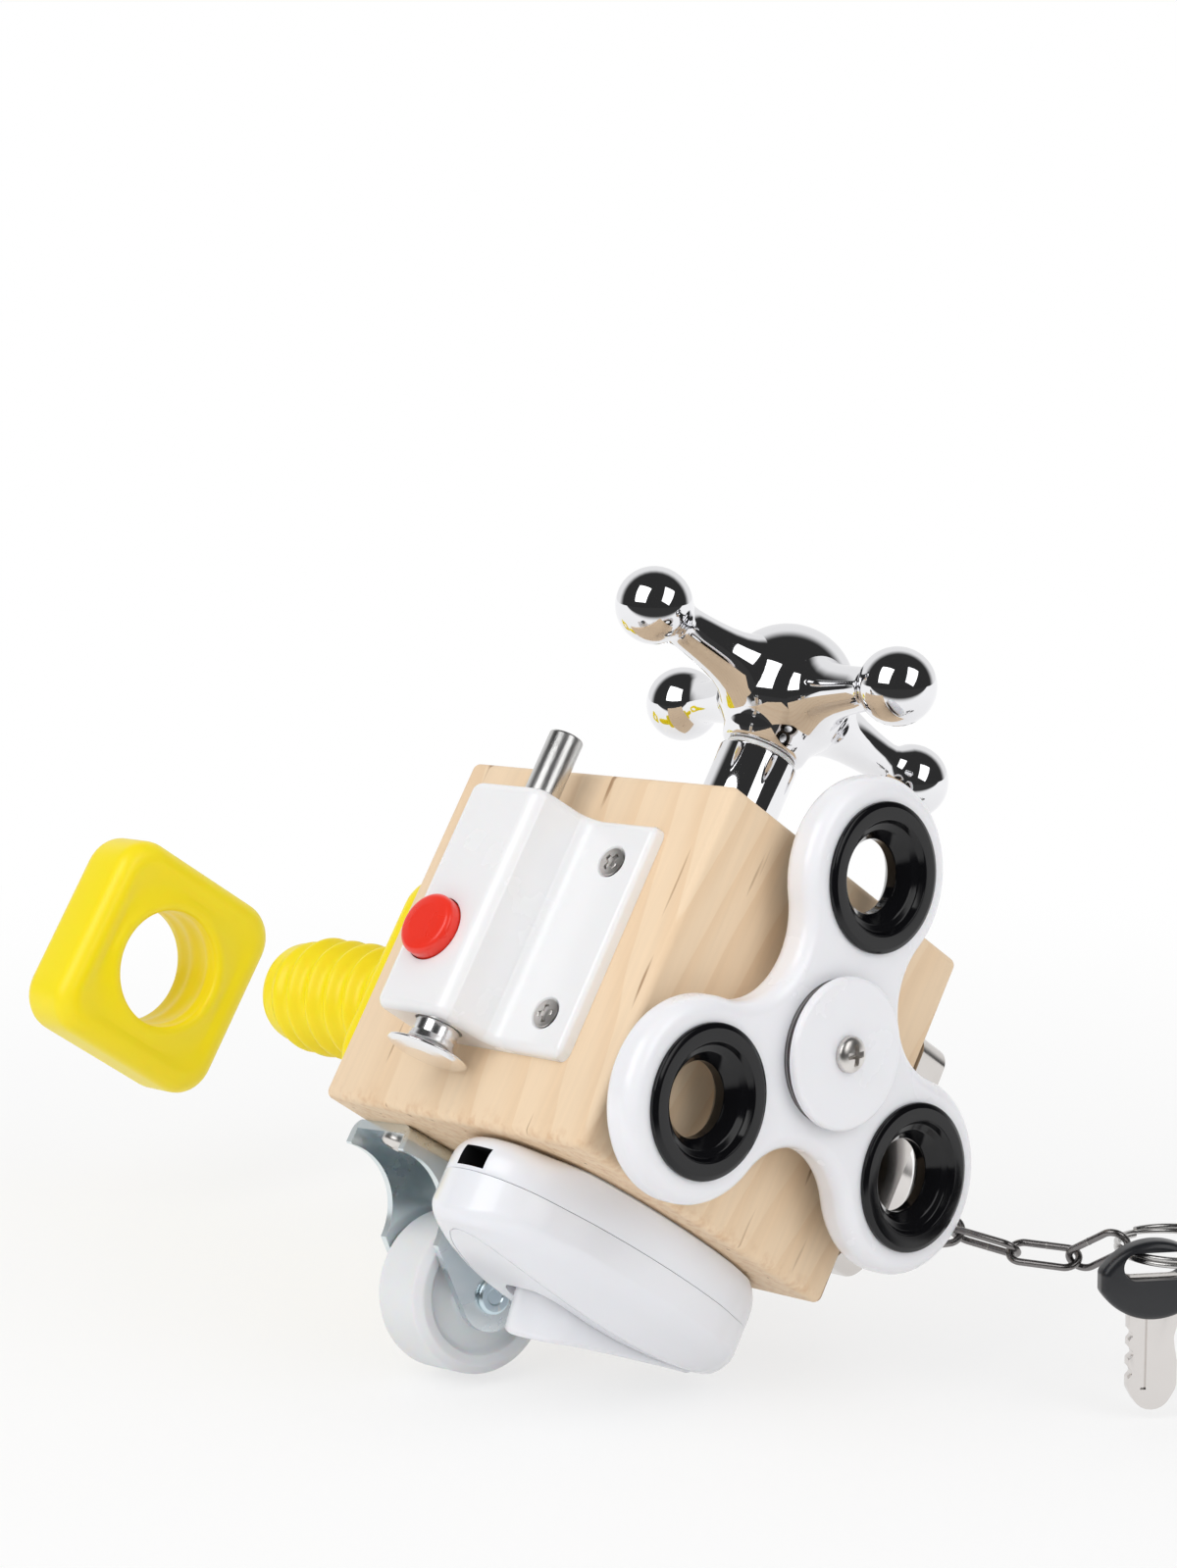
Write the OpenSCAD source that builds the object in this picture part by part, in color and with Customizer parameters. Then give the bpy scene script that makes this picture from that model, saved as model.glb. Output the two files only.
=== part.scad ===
// Busy board cube: a pine block with a fitting on each of its six faces.
// Millimetres, +Z up. The origin is the centre of the block's underside.

/* [Block] */
// Width of the block, along X
block_w = 60; // [58:0.5:76]
// Depth of the block, along Y
block_d = 60; // [58:0.5:76]
// Height of the block
block_h = 60; // [58:0.5:76]
// Radius of the block's eased edges
block_edge_r = 1.3; // [0.5:0.1:2.5]

/* [Tap] */
// Radius of the chrome column
tap_neck_r = 6.7; // [6:0.1:8]
// Height of the column above the block
tap_neck_h = 19; // [12:0.5:26]
// Height of the ball centres above the column
tap_arm_rise = 11.7; // [10:0.1:14]
// Distance of each ball from the axis
tap_arm_reach = 29.4; // [26:0.1:40]
// Radius of the balls
tap_ball_r = 6.3; // [5:0.1:7.5]
// Turn of the handle as it stands
tap_turn = -11; // [-45:1:45]

/* [Spinner] */
// Distance of each weight from the hub
spin_reach = 27.6; // [27:0.1:31]
// Radius of each lobe
spin_lobe_r = 15.5; // [14:0.1:16.5]
// Radius of the waist between two lobes
spin_waist_r = 15.6; // [14.5:0.1:17]
// Thickness of the plate
spin_thick = 6.4; // [5:0.1:7]
// Sideways place of the hub on its face
spin_y = 1; // [-4:0.5:4]
// Height of the hub
spin_z = 31.5; // [29:0.5:36]
// Turn of the lobes as they stand
spin_turn = 100.7; // [0:0.1:119.9]
// Outer radius of the weights
weight_r = 11.7; // [10.5:0.1:12.3]
// Radius of the hole through each weight
weight_bore_r = 5.75; // [4:0.05:7]
// Radius of the finger caps
cap_r = 11.7; // [9:0.1:12]
// Thickness of the outer finger cap
cap_t = 2.1; // [1.5:0.1:4]
// Thickness of the finger cap next to the block
back_cap_t = 3.1; // [2:0.1:4]

/* [Latch] */
// Length of the casing, along the pin
latch_len = 39; // [36:0.2:44]
// Height of the casing's lower end
latch_z0 = 12.2; // [9:0.2:14]
// How far the casing stands off the block
latch_deep = 12.5; // [12.3:0.1:14]
// Radius of the steel pin
pin_r = 2.8; // [2:0.05:2.9]
// How far the pin stands out of the casing
pin_out = 11.1; // [10:0.1:14]
// Travel of the pin
pin_travel = 9; // [5:0.5:9]
// Radius of the red button
button_r = 5.1; // [3.8:0.1:5.3]

/* [Caster] */
// Radius of the wheel
wheel_r = 12.75; // [10:0.05:13.5]
// Width of the wheel
wheel_w = 12.4; // [8:0.1:14]
// Turn of the bracket on its face
caster_turn = 9; // [0:1:12]
// Depth of the axle below the block
axle_drop = 17.3; // [16.8:0.1:22]
// Radius of the axle
axle_r = 2; // [1.5:0.05:2.5]

/* [Cord switch] */
// Length of the switch body
switch_len = 63; // [60:0.2:68]
// Width of the switch body at its middle
switch_w = 31; // [29:0.2:32]
// Depth of the whole body at its crown
switch_deep = 18.5; // [17.5:0.1:20]
// Depth of the joint between the two shells
switch_split = 6.8; // [6.6:0.1:7.6]

/* [Bolt and nut] */
// Width of the square head and of the nut
bolt_square = 38; // [34:0.5:42]
// Thickness of the bolt's head
bolt_head_t = 10; // [7:0.5:13]
// Length of the threaded shank
bolt_len = 41; // [35:1:60]
// Radius over the thread
thread_r = 10.2; // [8:0.1:12]
// Depth of the thread
thread_deep = 1.5; // [0.8:0.1:2]
// Pitch of the thread
thread_pitch = 5; // [4:0.25:6]
// Thickness of the nut
nut_t = 13; // [9:0.5:16]
// Gap from the bolt's tip to the nut, taken off
nut_off = 36; // [5:1:40]

/* [Lock] */
// Width of the lock's case
lock_w = 41; // [38:0.5:44]
// Height of the lock's case
lock_h = 40; // [38:0.5:44]
// Thickness of the lock's case
lock_t = 6; // [5.6:0.1:8]
// Radius of the barrel
barrel_r = 9.6; // [8.5:0.1:10.5]
// Length of the barrel
barrel_len = 16; // [12:0.5:22]

/* [Chain and keys] */
// Diameter of the chain's wire
wire_d = 1.15; // [1:0.05:1.3]
// Straight run of each link
link_run = 6.8; // [6:0.05:9]
// Radius of each link's ends, at the wire's middle
link_end_r = 2.15; // [2:0.05:2.6]
// Radius of the split ring
ring_r = 9.6; // [9:0.1:13]
// Width of the key's blade
blade_w = 7.8; // [7:0.1:9]
// Length of the key's blade past its bow
blade_len = 14.5; // [12:0.5:26]

/* [Hidden] */

$fn = 64;
eps = 0.01;
run_gap = 0.05;     // running clearance of a shaft in its bore, on the radius
part_gap = 0.3;     // clearance between pieces that pass each other
pine = [0.90, 0.76, 0.55];
chrome = [0.80, 0.81, 0.83];
steel = [0.66, 0.67, 0.69];
zinc = [0.62, 0.72, 0.78];
white = [0.95, 0.95, 0.96];
black = [0.06, 0.06, 0.07];
red = [0.90, 0.12, 0.08];
yellow = [1.00, 0.88, 0.00];
brass = [0.80, 0.62, 0.25];
dark_wire = [0.35, 0.34, 0.35];

// ---- faces of the block: local z leaves the face -------------------------
module on_top() { translate([0, 0, block_h]) children(); }
module on_bottom() { rotate([180, 0, 0]) children(); }
module on_right() { translate([block_w / 2, 0, 0]) rotate([90, 0, 90]) children(); }
module on_left() { translate([-block_w / 2, 0, 0]) rotate([90, 0, -90]) children(); }
module on_front() { translate([0, -block_d / 2, 0]) rotate([90, 0, 0]) children(); }
module on_back() { translate([0, block_d / 2, 0]) rotate([90, 0, 180]) children(); }

// ---- shared shapes --------------------------------------------------------
module round_rect(w, h, r) {
    square([w - 2 * r, h], center = true);
    square([w, h - 2 * r], center = true);
    for (sx = [-1, 1], sy = [-1, 1]) {
        translate([sx * (w / 2 - r), sy * (h / 2 - r)]) circle(r);
    }
}

module ring_2d(r_out, r_in) {
    difference() {
        circle(r_out);
        circle(r_in);
    }
}

module tube(r_out, r_in, h) {
    difference() {
        cylinder(r = r_out, h = h);
        translate([0, 0, -1]) cylinder(r = r_in, h = h + 2);
    }
}

module cross_recess(size, depth) {
    for (a = [0, 90]) {
        rotate([0, 0, a + 20]) translate([-size / 2, -size / 9, -depth])
            cube([size, size / 4.5, depth + 1]);
    }
}

// Shank below z = 0 with a pointed end.
module shank(r, len) {
    translate([0, 0, -len + 2 * r]) cylinder(r = r, h = len - 2 * r + eps);
    translate([0, 0, -len]) cylinder(r1 = 0.2, r2 = r, h = 2 * r + eps);
}

module pan_screw(head_r, head_h, r, len) {
    difference() {
        intersection() {
            cylinder(r = head_r, h = head_h);
            translate([0, 0, head_h - 1.6 * head_r]) sphere(1.6 * head_r);
        }
        translate([0, 0, head_h]) cross_recess(head_r * 1.15, head_h * 0.55);
    }
    shank(r, len);
}

module flush_screw(head_r, r, len) {
    head_h = head_r - r;
    difference() {
        translate([0, 0, -head_h]) cylinder(r1 = r, r2 = head_r, h = head_h);
        cross_recess(head_r * 1.15, head_h * 0.7);
    }
    translate([0, 0, -head_h + eps]) shank(r, len - head_h);
}

function arc(cx, cy, r, a0, a1, n) =
    [for (i = [0:n]) let (a = a0 + (a1 - a0) * i / n) [cx + r * cos(a), cy + r * sin(a)]];

// ---- coils: one unbroken wire, swept along z ------------------------------
coil_sides = 6;
coil_rings = 8;

function coil_point(r, pitch, i) =
    let (a = 360 * i / coil_rings) [r * cos(a), r * sin(a), pitch * i / coil_rings];

function coil_ring(r, wire_r, pitch, i) =
    let (a = 360 * i / coil_rings, p = coil_point(r, pitch, i))
    [for (s = [0:coil_sides - 1]) let (b = 360 * s / coil_sides)
        p + wire_r * cos(b) * [cos(a), sin(a), 0] + wire_r * sin(b) * [0, 0, 1]];

module coil(r, wire_r, pitch, turns) {
    rings = turns * coil_rings;
    points = [for (i = [0:rings]) each coil_ring(r, wire_r, pitch, i)];
    sides = [for (i = [0:rings - 1], s = [0:coil_sides - 1])
        let (a = i * coil_sides + s, b = i * coil_sides + (s + 1) % coil_sides)
        each [[a, b, a + coil_sides], [b, b + coil_sides, a + coil_sides]]];
    first = [for (s = [1:coil_sides - 2]) [0, s + 1, s]];
    last_at = rings * coil_sides;
    last = [for (s = [1:coil_sides - 2]) [last_at, last_at + s, last_at + s + 1]];
    polyhedron(points = points, faces = concat(first, sides, last));
}

// Least distance between the wire's surface on one turn and on the next.
function coil_self_gap(r, wire_r, pitch) =
    min([for (k = [coil_rings / 2:coil_rings * 3 / 2])
        norm(coil_point(r, pitch, k) - coil_point(r, pitch, 0)) - 2 * wire_r]);

// ======================= block ============================================
wood_screw_r = 1.5;
small_screw_r = 1.2;
pilot_gap = 0.05;
tap_root_r = 5;
tap_root_len = 16;

module pilot(r, depth) {
    translate([0, 0, -depth]) cylinder(r = r + pilot_gap, h = depth + 1);
}

module block() {
    color(pine) difference() {
        intersection() {
            linear_extrude(block_h) round_rect(block_w, block_d, block_edge_r);
            translate([0, block_d / 2, block_h / 2]) rotate([90, 0, 0])
                linear_extrude(block_d) round_rect(block_w, block_h, block_edge_r);
            translate([-block_w / 2, 0, block_h / 2]) rotate([90, 0, 90])
                linear_extrude(block_w) round_rect(block_d, block_h, block_edge_r);
        }
        on_top() pilot(tap_root_r, tap_root_len + 0.5);
        on_right() translate([spin_y, spin_z, 0]) pilot(wood_screw_r, spinner_screw_bite + 0.5);
        on_front() latch_screw_places() pilot(small_screw_r, latch_screw_bite + 0.5);
        on_bottom() caster_screw_places() pilot(wood_screw_r, caster_screw_bite + 0.5);
        on_bottom() switch_wood_screw_places() pilot(small_screw_r, switch_screw_bite + 0.5);
        on_left() translate([-bolt_y, bolt_z, 0]) pilot(bolt_screw_r, bolt_screw_bite + 0.5);
        on_back() lock_screw_places() pilot(wood_screw_r, lock_screw_bite + 0.5);
        on_back() eye_place() pilot(wood_screw_r, lock_screw_bite + 0.5);
    }
}

// ======================= tap ==============================================
spindle_r = 3;
spindle_drop = 13;
square_side = 4.4;
square_len = 9;
clip_r = 4.1;
clip_t = 1.2;
clip_room_r = 4.4;
clip_room_len = 4;
tap_washer_t = 0.8;
hub_r = 11.4;
hub_foot_r = 7;
hub_base = tap_neck_h + tap_washer_t + 0.2;
ball_z = tap_neck_h + tap_arm_rise;
grub_r = 1.3;
grub_z = hub_base + 2.2;
grub_turn = -15;

module tap_neck() {
    color(chrome) on_top() difference() {
        union() {
            translate([0, 0, -tap_root_len]) cylinder(r = tap_root_r, h = tap_root_len + eps);
            cylinder(r = tap_neck_r, h = tap_neck_h - 0.6);
            translate([0, 0, tap_neck_h - 0.6])
                cylinder(r1 = tap_neck_r, r2 = tap_neck_r - 0.6, h = 0.6);
        }
        translate([0, 0, -tap_root_len - 1])
            cylinder(r = spindle_r + run_gap, h = tap_root_len + tap_neck_h + 2);
        translate([0, 0, -tap_root_len - 1]) cylinder(r = clip_room_r, h = clip_room_len + 1);
    }
}

module tap_spindle() {
    color(steel) on_top() rotate([0, 0, tap_turn]) difference() {
        union() {
            translate([0, 0, -spindle_drop - 1.6])
                cylinder(r = spindle_r, h = spindle_drop + 1.6 + hub_base - 0.2);
            translate([-square_side / 2, -square_side / 2, hub_base - 0.2 - eps])
                cube([square_side, square_side, square_len]);
        }
        translate([0, 0, -spindle_drop - clip_t]) tube(spindle_r + 1, spindle_r - 0.6, clip_t);
    }
}

module tap_clip() {
    color(steel) on_top() translate([0, 0, -spindle_drop - clip_t + 0.05]) difference() {
        tube(clip_r, spindle_r - 0.55, clip_t - 0.1);
        rotate([0, 0, 200]) translate([0, -1, -1]) cube([clip_r + 1, 2, clip_t + 2]);
    }
}

module tap_washer() {
    color(white) on_top() translate([0, 0, tap_neck_h]) tube(tap_neck_r - 0.8,
        spindle_r + 0.2, tap_washer_t);
}

module tap_handle() {
    arm_root_r = 4.4;
    arm_tip_r = 3.4;
    color(chrome) on_top() rotate([0, 0, tap_turn]) difference() {
        union() {
            translate([0, 0, ball_z + 0.5]) sphere(hub_r);
            translate([0, 0, hub_base]) cylinder(r1 = hub_foot_r, r2 = hub_r - 0.8, h = 8);
            for (a = [0:90:270]) rotate([0, 0, a]) translate([0, 0, ball_z]) {
                translate([hub_r - 5, 0, 0]) rotate([0, 90, 0])
                    cylinder(r1 = arm_root_r, r2 = arm_tip_r, h = tap_arm_reach - hub_r + 5);
                translate([tap_arm_reach, 0, 0]) sphere(tap_ball_r);
            }
        }
        translate([0, 0, hub_base - 1]) cylinder(r = spindle_r + 0.1, h = 1 + 0.2);
        translate([0, 0, hub_base + square_len / 2 - 1]) cube([square_side + 0.1,
            square_side + 0.1, square_len + 3], center = true);
        rotate([0, 0, grub_turn - tap_turn]) translate([0, 0, grub_z]) rotate([0, 90, 0])
            cylinder(r = grub_r + run_gap, h = hub_r + 2);
    }
}

module tap_grub_screw() {
    grub_start = square_side * 0.72;
    grub_end = hub_foot_r + 0.1;
    color(steel) on_top() rotate([0, 0, grub_turn]) translate([grub_start, 0, grub_z])
        rotate([0, 90, 0]) difference() {
            cylinder(r = grub_r, h = grub_end - grub_start);
            translate([0, 0, grub_end - grub_start - 1.2]) cylinder(r = 0.7, h = 2, $fn = 6);
        }
}

// ======================= spinner ==========================================
bearing_r = 11;
bearing_bore_r = 4;
bearing_w = 7;
ball_r = 1.98;
ball_pitch_r = 7.55;
ball_count = 7;
groove_r = 2.05;
cap_boss = 0.4;
race_back = back_cap_t + cap_boss;       // back of the races, off the face
race_front = race_back + bearing_w;
spin_mid = (race_back + race_front) / 2; // middle of the plate
weight_proud = 1;
spinner_screw_bite = 16;
fillet_bite = 0.03;
// Radius of the fillet that is tangent to two lobes and passes the waist
fillet_r = (pow(spin_waist_r - spin_reach / 2, 2) + 0.75 * pow(spin_reach, 2)
    - pow(spin_lobe_r, 2)) / (2 * (spin_lobe_r - spin_waist_r + spin_reach / 2));

module at_spinner() { on_right() translate([spin_y, spin_z, 0]) children(); }
module at_lobe(i) {
    rotate([0, 0, spin_turn + 120 * i]) translate([spin_reach, 0, 0]) children();
}

module lobe_outline() {
    fillet_at = spin_waist_r + fillet_r;
    difference() {
        union() {
            for (i = [0:2]) at_lobe(i) circle(spin_lobe_r, $fn = 96);
            polygon([for (i = [0:5])
                let (a = spin_turn + 60 * i, r = i % 2 == 0 ? spin_reach : fillet_at)
                [r * cos(a), r * sin(a)]]);
        }
        for (i = [0:2]) rotate([0, 0, spin_turn + 60 + 120 * i]) translate([fillet_at, 0])
            circle(fillet_r + fillet_bite, $fn = 96);
    }
}

module spinner_body() {
    color(white) at_spinner() translate([0, 0, spin_mid - spin_thick / 2]) difference() {
        linear_extrude(spin_thick) lobe_outline();
        translate([0, 0, -1]) cylinder(r = bearing_r + 0.02, h = spin_thick + 2);
        for (i = [0:2]) at_lobe(i) translate([0, 0, -1])
            cylinder(r = weight_r - 0.55, h = spin_thick + 2);
    }
}

module spinner_weight(i) {
    flange_t = weight_proud;
    mouth_r = weight_bore_r + 3.1;
    half = spin_thick / 2 + flange_t + 0.05;
    color(black) at_spinner() at_lobe(i) translate([0, 0, spin_mid])
        rotate_extrude($fn = 96) difference() {
            union() {
                translate([weight_bore_r, -half]) square([weight_r - 0.6 - weight_bore_r, 2 * half]);
                for (s = [-1, 1]) translate([weight_r - 0.6, s * (half - flange_t / 2)]) {
                    square([flange_t, flange_t], center = true);
                    translate([0.6 - flange_t / 2, 0]) circle(flange_t / 2, $fn = 24);
                }
            }
            polygon([[0, half + eps], [mouth_r, half + eps], [weight_bore_r, 0.8],
                [weight_bore_r, -0.8], [mouth_r, -half - eps], [0, -half - eps]]);
        }
}
module spinner_weight_1() { spinner_weight(0); }
module spinner_weight_2() { spinner_weight(1); }
module spinner_weight_3() { spinner_weight(2); }

module race(r_in, r_out) {
    translate([0, 0, spin_mid]) rotate_extrude($fn = 96) difference() {
        translate([r_in, -bearing_w / 2]) square([r_out - r_in, bearing_w]);
        translate([ball_pitch_r, 0]) circle(groove_r, $fn = 48);
    }
}

module bearing_outer() { color(steel) at_spinner() race(9.2, bearing_r); }
module bearing_inner() { color(steel) at_spinner() race(bearing_bore_r, 5.9); }

module bearing_balls() {
    color(chrome) at_spinner() for (i = [0:ball_count - 1])
        rotate([0, 0, 360 * i / ball_count])
            translate([ball_pitch_r, 0, spin_mid]) sphere(ball_r);
}

module bearing_cage() {
    color(brass) at_spinner() translate([0, 0, spin_mid]) difference() {
        translate([0, 0, -2.9]) tube(8.3, 6.8, 3.9);
        for (i = [0:ball_count - 1]) rotate([0, 0, 360 * i / ball_count])
            translate([ball_pitch_r, 0, 0]) sphere(ball_r + 0.12);
    }
}

module finger_cap(thick) {
    difference() {
        union() {
            translate([0, 0, cap_boss]) cylinder(r = cap_r, h = thick - 0.5);
            translate([0, 0, cap_boss + thick - 0.5])
                cylinder(r1 = cap_r, r2 = cap_r - 0.5, h = 0.5);
            cylinder(r = 5.4, h = cap_boss + eps);
            translate([0, 0, -3.3]) cylinder(r = bearing_bore_r - run_gap, h = 3.3 + eps);
        }
        translate([0, 0, -4]) cylinder(r = wood_screw_r + 0.1, h = thick + 6);
    }
}

module spinner_cap_front() {
    color(white) at_spinner() translate([0, 0, race_front]) finger_cap(cap_t);
}
module spinner_cap_back() {
    color(white) at_spinner() translate([0, 0, race_back]) mirror([0, 0, 1]) finger_cap(back_cap_t);
}
module spinner_screw() {
    cap_front = race_front + cap_boss + cap_t;
    color(steel) at_spinner() translate([0, 0, cap_front])
        pan_screw(2.8, 1.9, wood_screw_r, cap_front + spinner_screw_bite);
}

// ======================= spring latch =====================================
rod_x = -2.3;            // pin's place across the casing
rod_off = 7;             // pin's axis, off the block
case_left = -13;
case_crest = 1.1;        // where the shoulder starts
case_foot = 7.6;         // where the flange starts
case_right = 19.9;
flange_t = 2.4;
chamber_r = 3.9;
collar_r = 3.65;
collar_t = 2;
latch_z1 = latch_z0 + latch_len;
chamber_top = latch_z1 - 1.6;
pin_tip = latch_z1 + pin_out;
collar_top = chamber_top - 7.8;
latch_coil_r = 3.33;
latch_wire_r = 0.28;
latch_turns = 6;
knob_gap = 4.5;          // under the casing to the knob's disc
knob_r = 6.6;
button_x = -6.1;
button_z = 25.6;
button_proud = 2.5;
button_travel = 1.3;
latch_screw_x = 13.7;
latch_screw_z = [latch_z0 + 6.4, latch_z1 - 7];
latch_screw_bite = 10;
button_coil_r = 1.15;
button_wire_r = 0.2;
button_turns = 5;
button_back = 9.9;       // underside of the button's flange, off the block
button_coil_at = [-8.7, 22.2];
button_coil_foot = 5;
arm_x0 = -10.4;
arm_w = 3.2;
arm_z = [25.1, 28.1];

module latch_screw_places() {
    for (z = latch_screw_z) translate([latch_screw_x, z, 0]) children();
}

// The casing's section: tall rounded body, one shoulder, one flange.
module latch_section() {
    shoulder = arc(case_crest, latch_deep - 3, 3, 90, 25, 6);
    fillet = arc(case_foot, flange_t + 3, 3, 205, 270, 6);
    polygon(concat([[case_left, 0]], arc(case_left + 2, latch_deep - 2, 2, 180, 90, 6),
        shoulder, fillet, arc(case_right - 1, flange_t - 1, 1, 90, 0, 4), [[case_right, 0]]));
}

module latch_case() {
    mid = (case_left + case_right) / 2;
    color(white) difference() {
        intersection() {
            translate([0, -block_d / 2, latch_z0]) rotate([0, 0, 0]) mirror([0, 1, 0])
                linear_extrude(latch_len) latch_section();
            on_front() translate([mid, (latch_z0 + latch_z1) / 2, 0])
                linear_extrude(latch_deep + 1) round_rect(case_right - case_left, latch_len, 1.6);
        }
        translate([rod_x, -block_d / 2 - rod_off, 0]) {
            translate([0, 0, latch_z0 - 1]) cylinder(r = chamber_r, h = chamber_top - latch_z0 + 1);
            translate([0, 0, chamber_top - 1]) cylinder(r = pin_r + run_gap + 0.02, h = 4);
        }
        on_front() {
            translate([button_x, button_z, button_back + 0.9])
                cylinder(r = button_r + 0.1, h = latch_deep);
            translate([button_x, button_z, 8.3]) cylinder(r = button_r + 0.9, h = 2.7);
            translate([arm_x0 - 0.3, arm_z[0] - 0.3, 3.2]) cube([arm_w + 0.6, arm_z[1] - arm_z[0]
                + 0.6, 6]);
            translate([button_coil_at[0], button_coil_at[1], button_coil_foot])
                cylinder(r = 1.7, h = 5);
            latch_screw_places() {
                translate([0, 0, -1]) cylinder(r = small_screw_r + 0.15, h = flange_t + 2);
                translate([0, 0, flange_t - 1.25]) cylinder(r1 = small_screw_r + 0.1, r2 = 2.6,
                    h = 1.3);
                translate([0, 0, flange_t]) cylinder(r = 2.6, h = 4);
            }
        }
    }
}

module at_rod() { translate([rod_x, -block_d / 2 - rod_off, 0]) children(); }

module latch_rod() {
    foot = latch_z0 + 3;
    color(steel) at_rod() {
        translate([0, 0, foot]) cylinder(r = pin_r, h = pin_tip - foot - 0.7);
        translate([0, 0, pin_tip - 0.7]) cylinder(r1 = pin_r, r2 = pin_r - 0.6, h = 0.7);
        translate([0, 0, collar_top - collar_t]) cylinder(r = collar_r, h = collar_t);
    }
}

module latch_knob() {
    disc_z = latch_z0 - knob_gap;
    color(chrome) at_rod() difference() {
        union() {
            translate([0, 0, disc_z]) cylinder(r = 3.5, h = knob_gap + 7);
            translate([0, 0, disc_z - 0.5]) cylinder(r1 = knob_r, r2 = knob_r - 0.8, h = 0.8);
            translate([0, 0, disc_z - 0.9]) cylinder(r1 = knob_r - 0.6, r2 = knob_r, h = 0.41);
            translate([0, 0, disc_z]) cylinder(r1 = 4.6, r2 = 3.5, h = 1.2);
        }
        translate([0, 0, latch_z0 + 3]) cylinder(r = pin_r + 0.02, h = 20);
    }
}

module latch_spring() {
    wire_top = chamber_top - latch_wire_r - 0.1;
    wire_foot = collar_top + latch_wire_r + 0.1;
    color(steel) at_rod() translate([0, 0, wire_foot])
        coil(latch_coil_r, latch_wire_r, (wire_top - wire_foot) / latch_turns, latch_turns);
}

module latch_button() {
    color(red) on_front() translate([button_x, button_z, 0]) difference() {
        union() {
            translate([0, 0, button_back + 1]) cylinder(r = button_r,
                h = latch_deep + button_proud - button_back - 1.8);
            translate([0, 0, latch_deep + button_proud - 0.8])
                cylinder(r1 = button_r, r2 = button_r - 0.8, h = 0.8);
            translate([0, 0, button_back]) cylinder(r = button_r + 0.6, h = 1 + eps);
            translate([arm_x0 - button_x, arm_z[0] - button_z, 5]) cube([arm_w,
                arm_z[1] - arm_z[0], button_back - 5 + 0.5]);
        }
        translate([rod_x - button_x - pin_r - 0.7, -9, 2]) cube([12, 18, button_back + 0.2]);
    }
}

module latch_button_spring() {
    wire_foot = button_coil_foot + button_wire_r + 0.1;
    wire_top = button_back - button_wire_r - 0.1;
    color(steel) on_front() translate([button_coil_at[0], button_coil_at[1], wire_foot])
        coil(button_coil_r, button_wire_r, (wire_top - wire_foot) / button_turns, button_turns);
}

module latch_screws() {
    color(steel) on_front() latch_screw_places() translate([0, 0, flange_t])
        flush_screw(2.4, small_screw_r, flange_t + latch_screw_bite);
}

// ======================= caster ===========================================
caster_x = -19.75;
axle_y = 4;
fork_w = wheel_w + 4.6;
sheet_t = 1.5;
fork_front = 22;         // distance from the axle's face line to the web's front edge
fork_back = 14;
leg_end_r = 5.7;
washer_t = (fork_w - 2 * sheet_t - wheel_w) / 2 - 0.15;
caster_screw_bite = 12;
caster_screw_y = [18, -9];
bend_r = 2.2;

module at_caster() { on_bottom() at_caster_plan() children(); }
module at_caster_plan() {
    translate([caster_x, 0, 0]) rotate([0, 0, caster_turn]) children();
}
module caster_screw_places() {
    at_caster_plan() for (y = caster_screw_y) translate([0, y, 0]) children();
}

module leg_outline() {
    cut_r = 10.5;
    difference() {
        union() {
            polygon([[fork_front, 0], [fork_front, 4], [8.5, 15], [0.2, axle_drop + 4],
                [-axle_y - leg_end_r, axle_drop], [-fork_back, 4], [-fork_back, 0]]);
            translate([-axle_y, axle_drop]) circle(leg_end_r);
        }
        translate([fork_front - 2.5, 14.5]) circle(cut_r);
    }
}

module caster_fork() {
    color(zinc) at_caster() difference() {
        union() {
            translate([-fork_w / 2, 0, 0]) rotate([90, 0, 90]) linear_extrude(sheet_t) leg_outline();
            translate([fork_w / 2 - sheet_t, 0, 0]) rotate([90, 0, 90])
                linear_extrude(sheet_t) leg_outline();
            translate([-fork_w / 2 + eps, -fork_back, 0])
                cube([fork_w - 2 * eps, fork_front + fork_back, sheet_t]);
        }
        for (s = [-1, 1]) difference() {
            translate([s * (fork_w / 2 - bend_r / 2 + 0.5), 0, bend_r / 2 - 0.5])
                cube([bend_r + 1, 80, bend_r + 1], center = true);
            translate([s * (fork_w / 2 - bend_r), 50, bend_r]) rotate([90, 0, 0])
                cylinder(r = bend_r, h = 100);
        }
        translate([-20, -axle_y, axle_drop]) rotate([0, 90, 0]) cylinder(r = axle_r + run_gap, h = 40);
        for (y = caster_screw_y) translate([0, y, -1]) cylinder(r = wood_screw_r + 0.2, h = 4);
    }
}

module caster_wheel() {
    half = wheel_w / 2;
    color(white) at_caster() translate([0, -axle_y, axle_drop]) rotate([0, 90, 0])
        rotate_extrude($fn = 96) difference() {
            union() {
                translate([axle_r + 0.06, -half]) square([wheel_r - 1.2 - axle_r - 0.06, wheel_w]);
                translate([axle_r + 0.06, -half + 1.2]) square([wheel_r - axle_r - 0.06,
                    wheel_w - 2.4]);
                for (s = [-1, 1]) translate([wheel_r - 1.2, s * (half - 1.2)]) circle(1.2);
            }
            for (s = [-1, 1]) translate([6.9, s * half]) circle(2.4);
        }
}

module caster_axle() {
    head_r = 2.9;
    head_t = 1;
    color(steel) at_caster() translate([0, -axle_y, axle_drop]) rotate([0, 90, 0]) {
        translate([0, 0, -fork_w / 2 - 0.1]) cylinder(r = axle_r, h = fork_w + 0.2);
        for (s = [-1, 1]) translate([0, 0, s * (fork_w / 2 + 0.05 + head_t / 2)]) difference() {
            cylinder(r = head_r, h = head_t, center = true);
            translate([0, 0, s * head_t / 2]) cylinder(r = head_r * 0.55, h = head_t, center = true);
        }
    }
}

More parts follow.
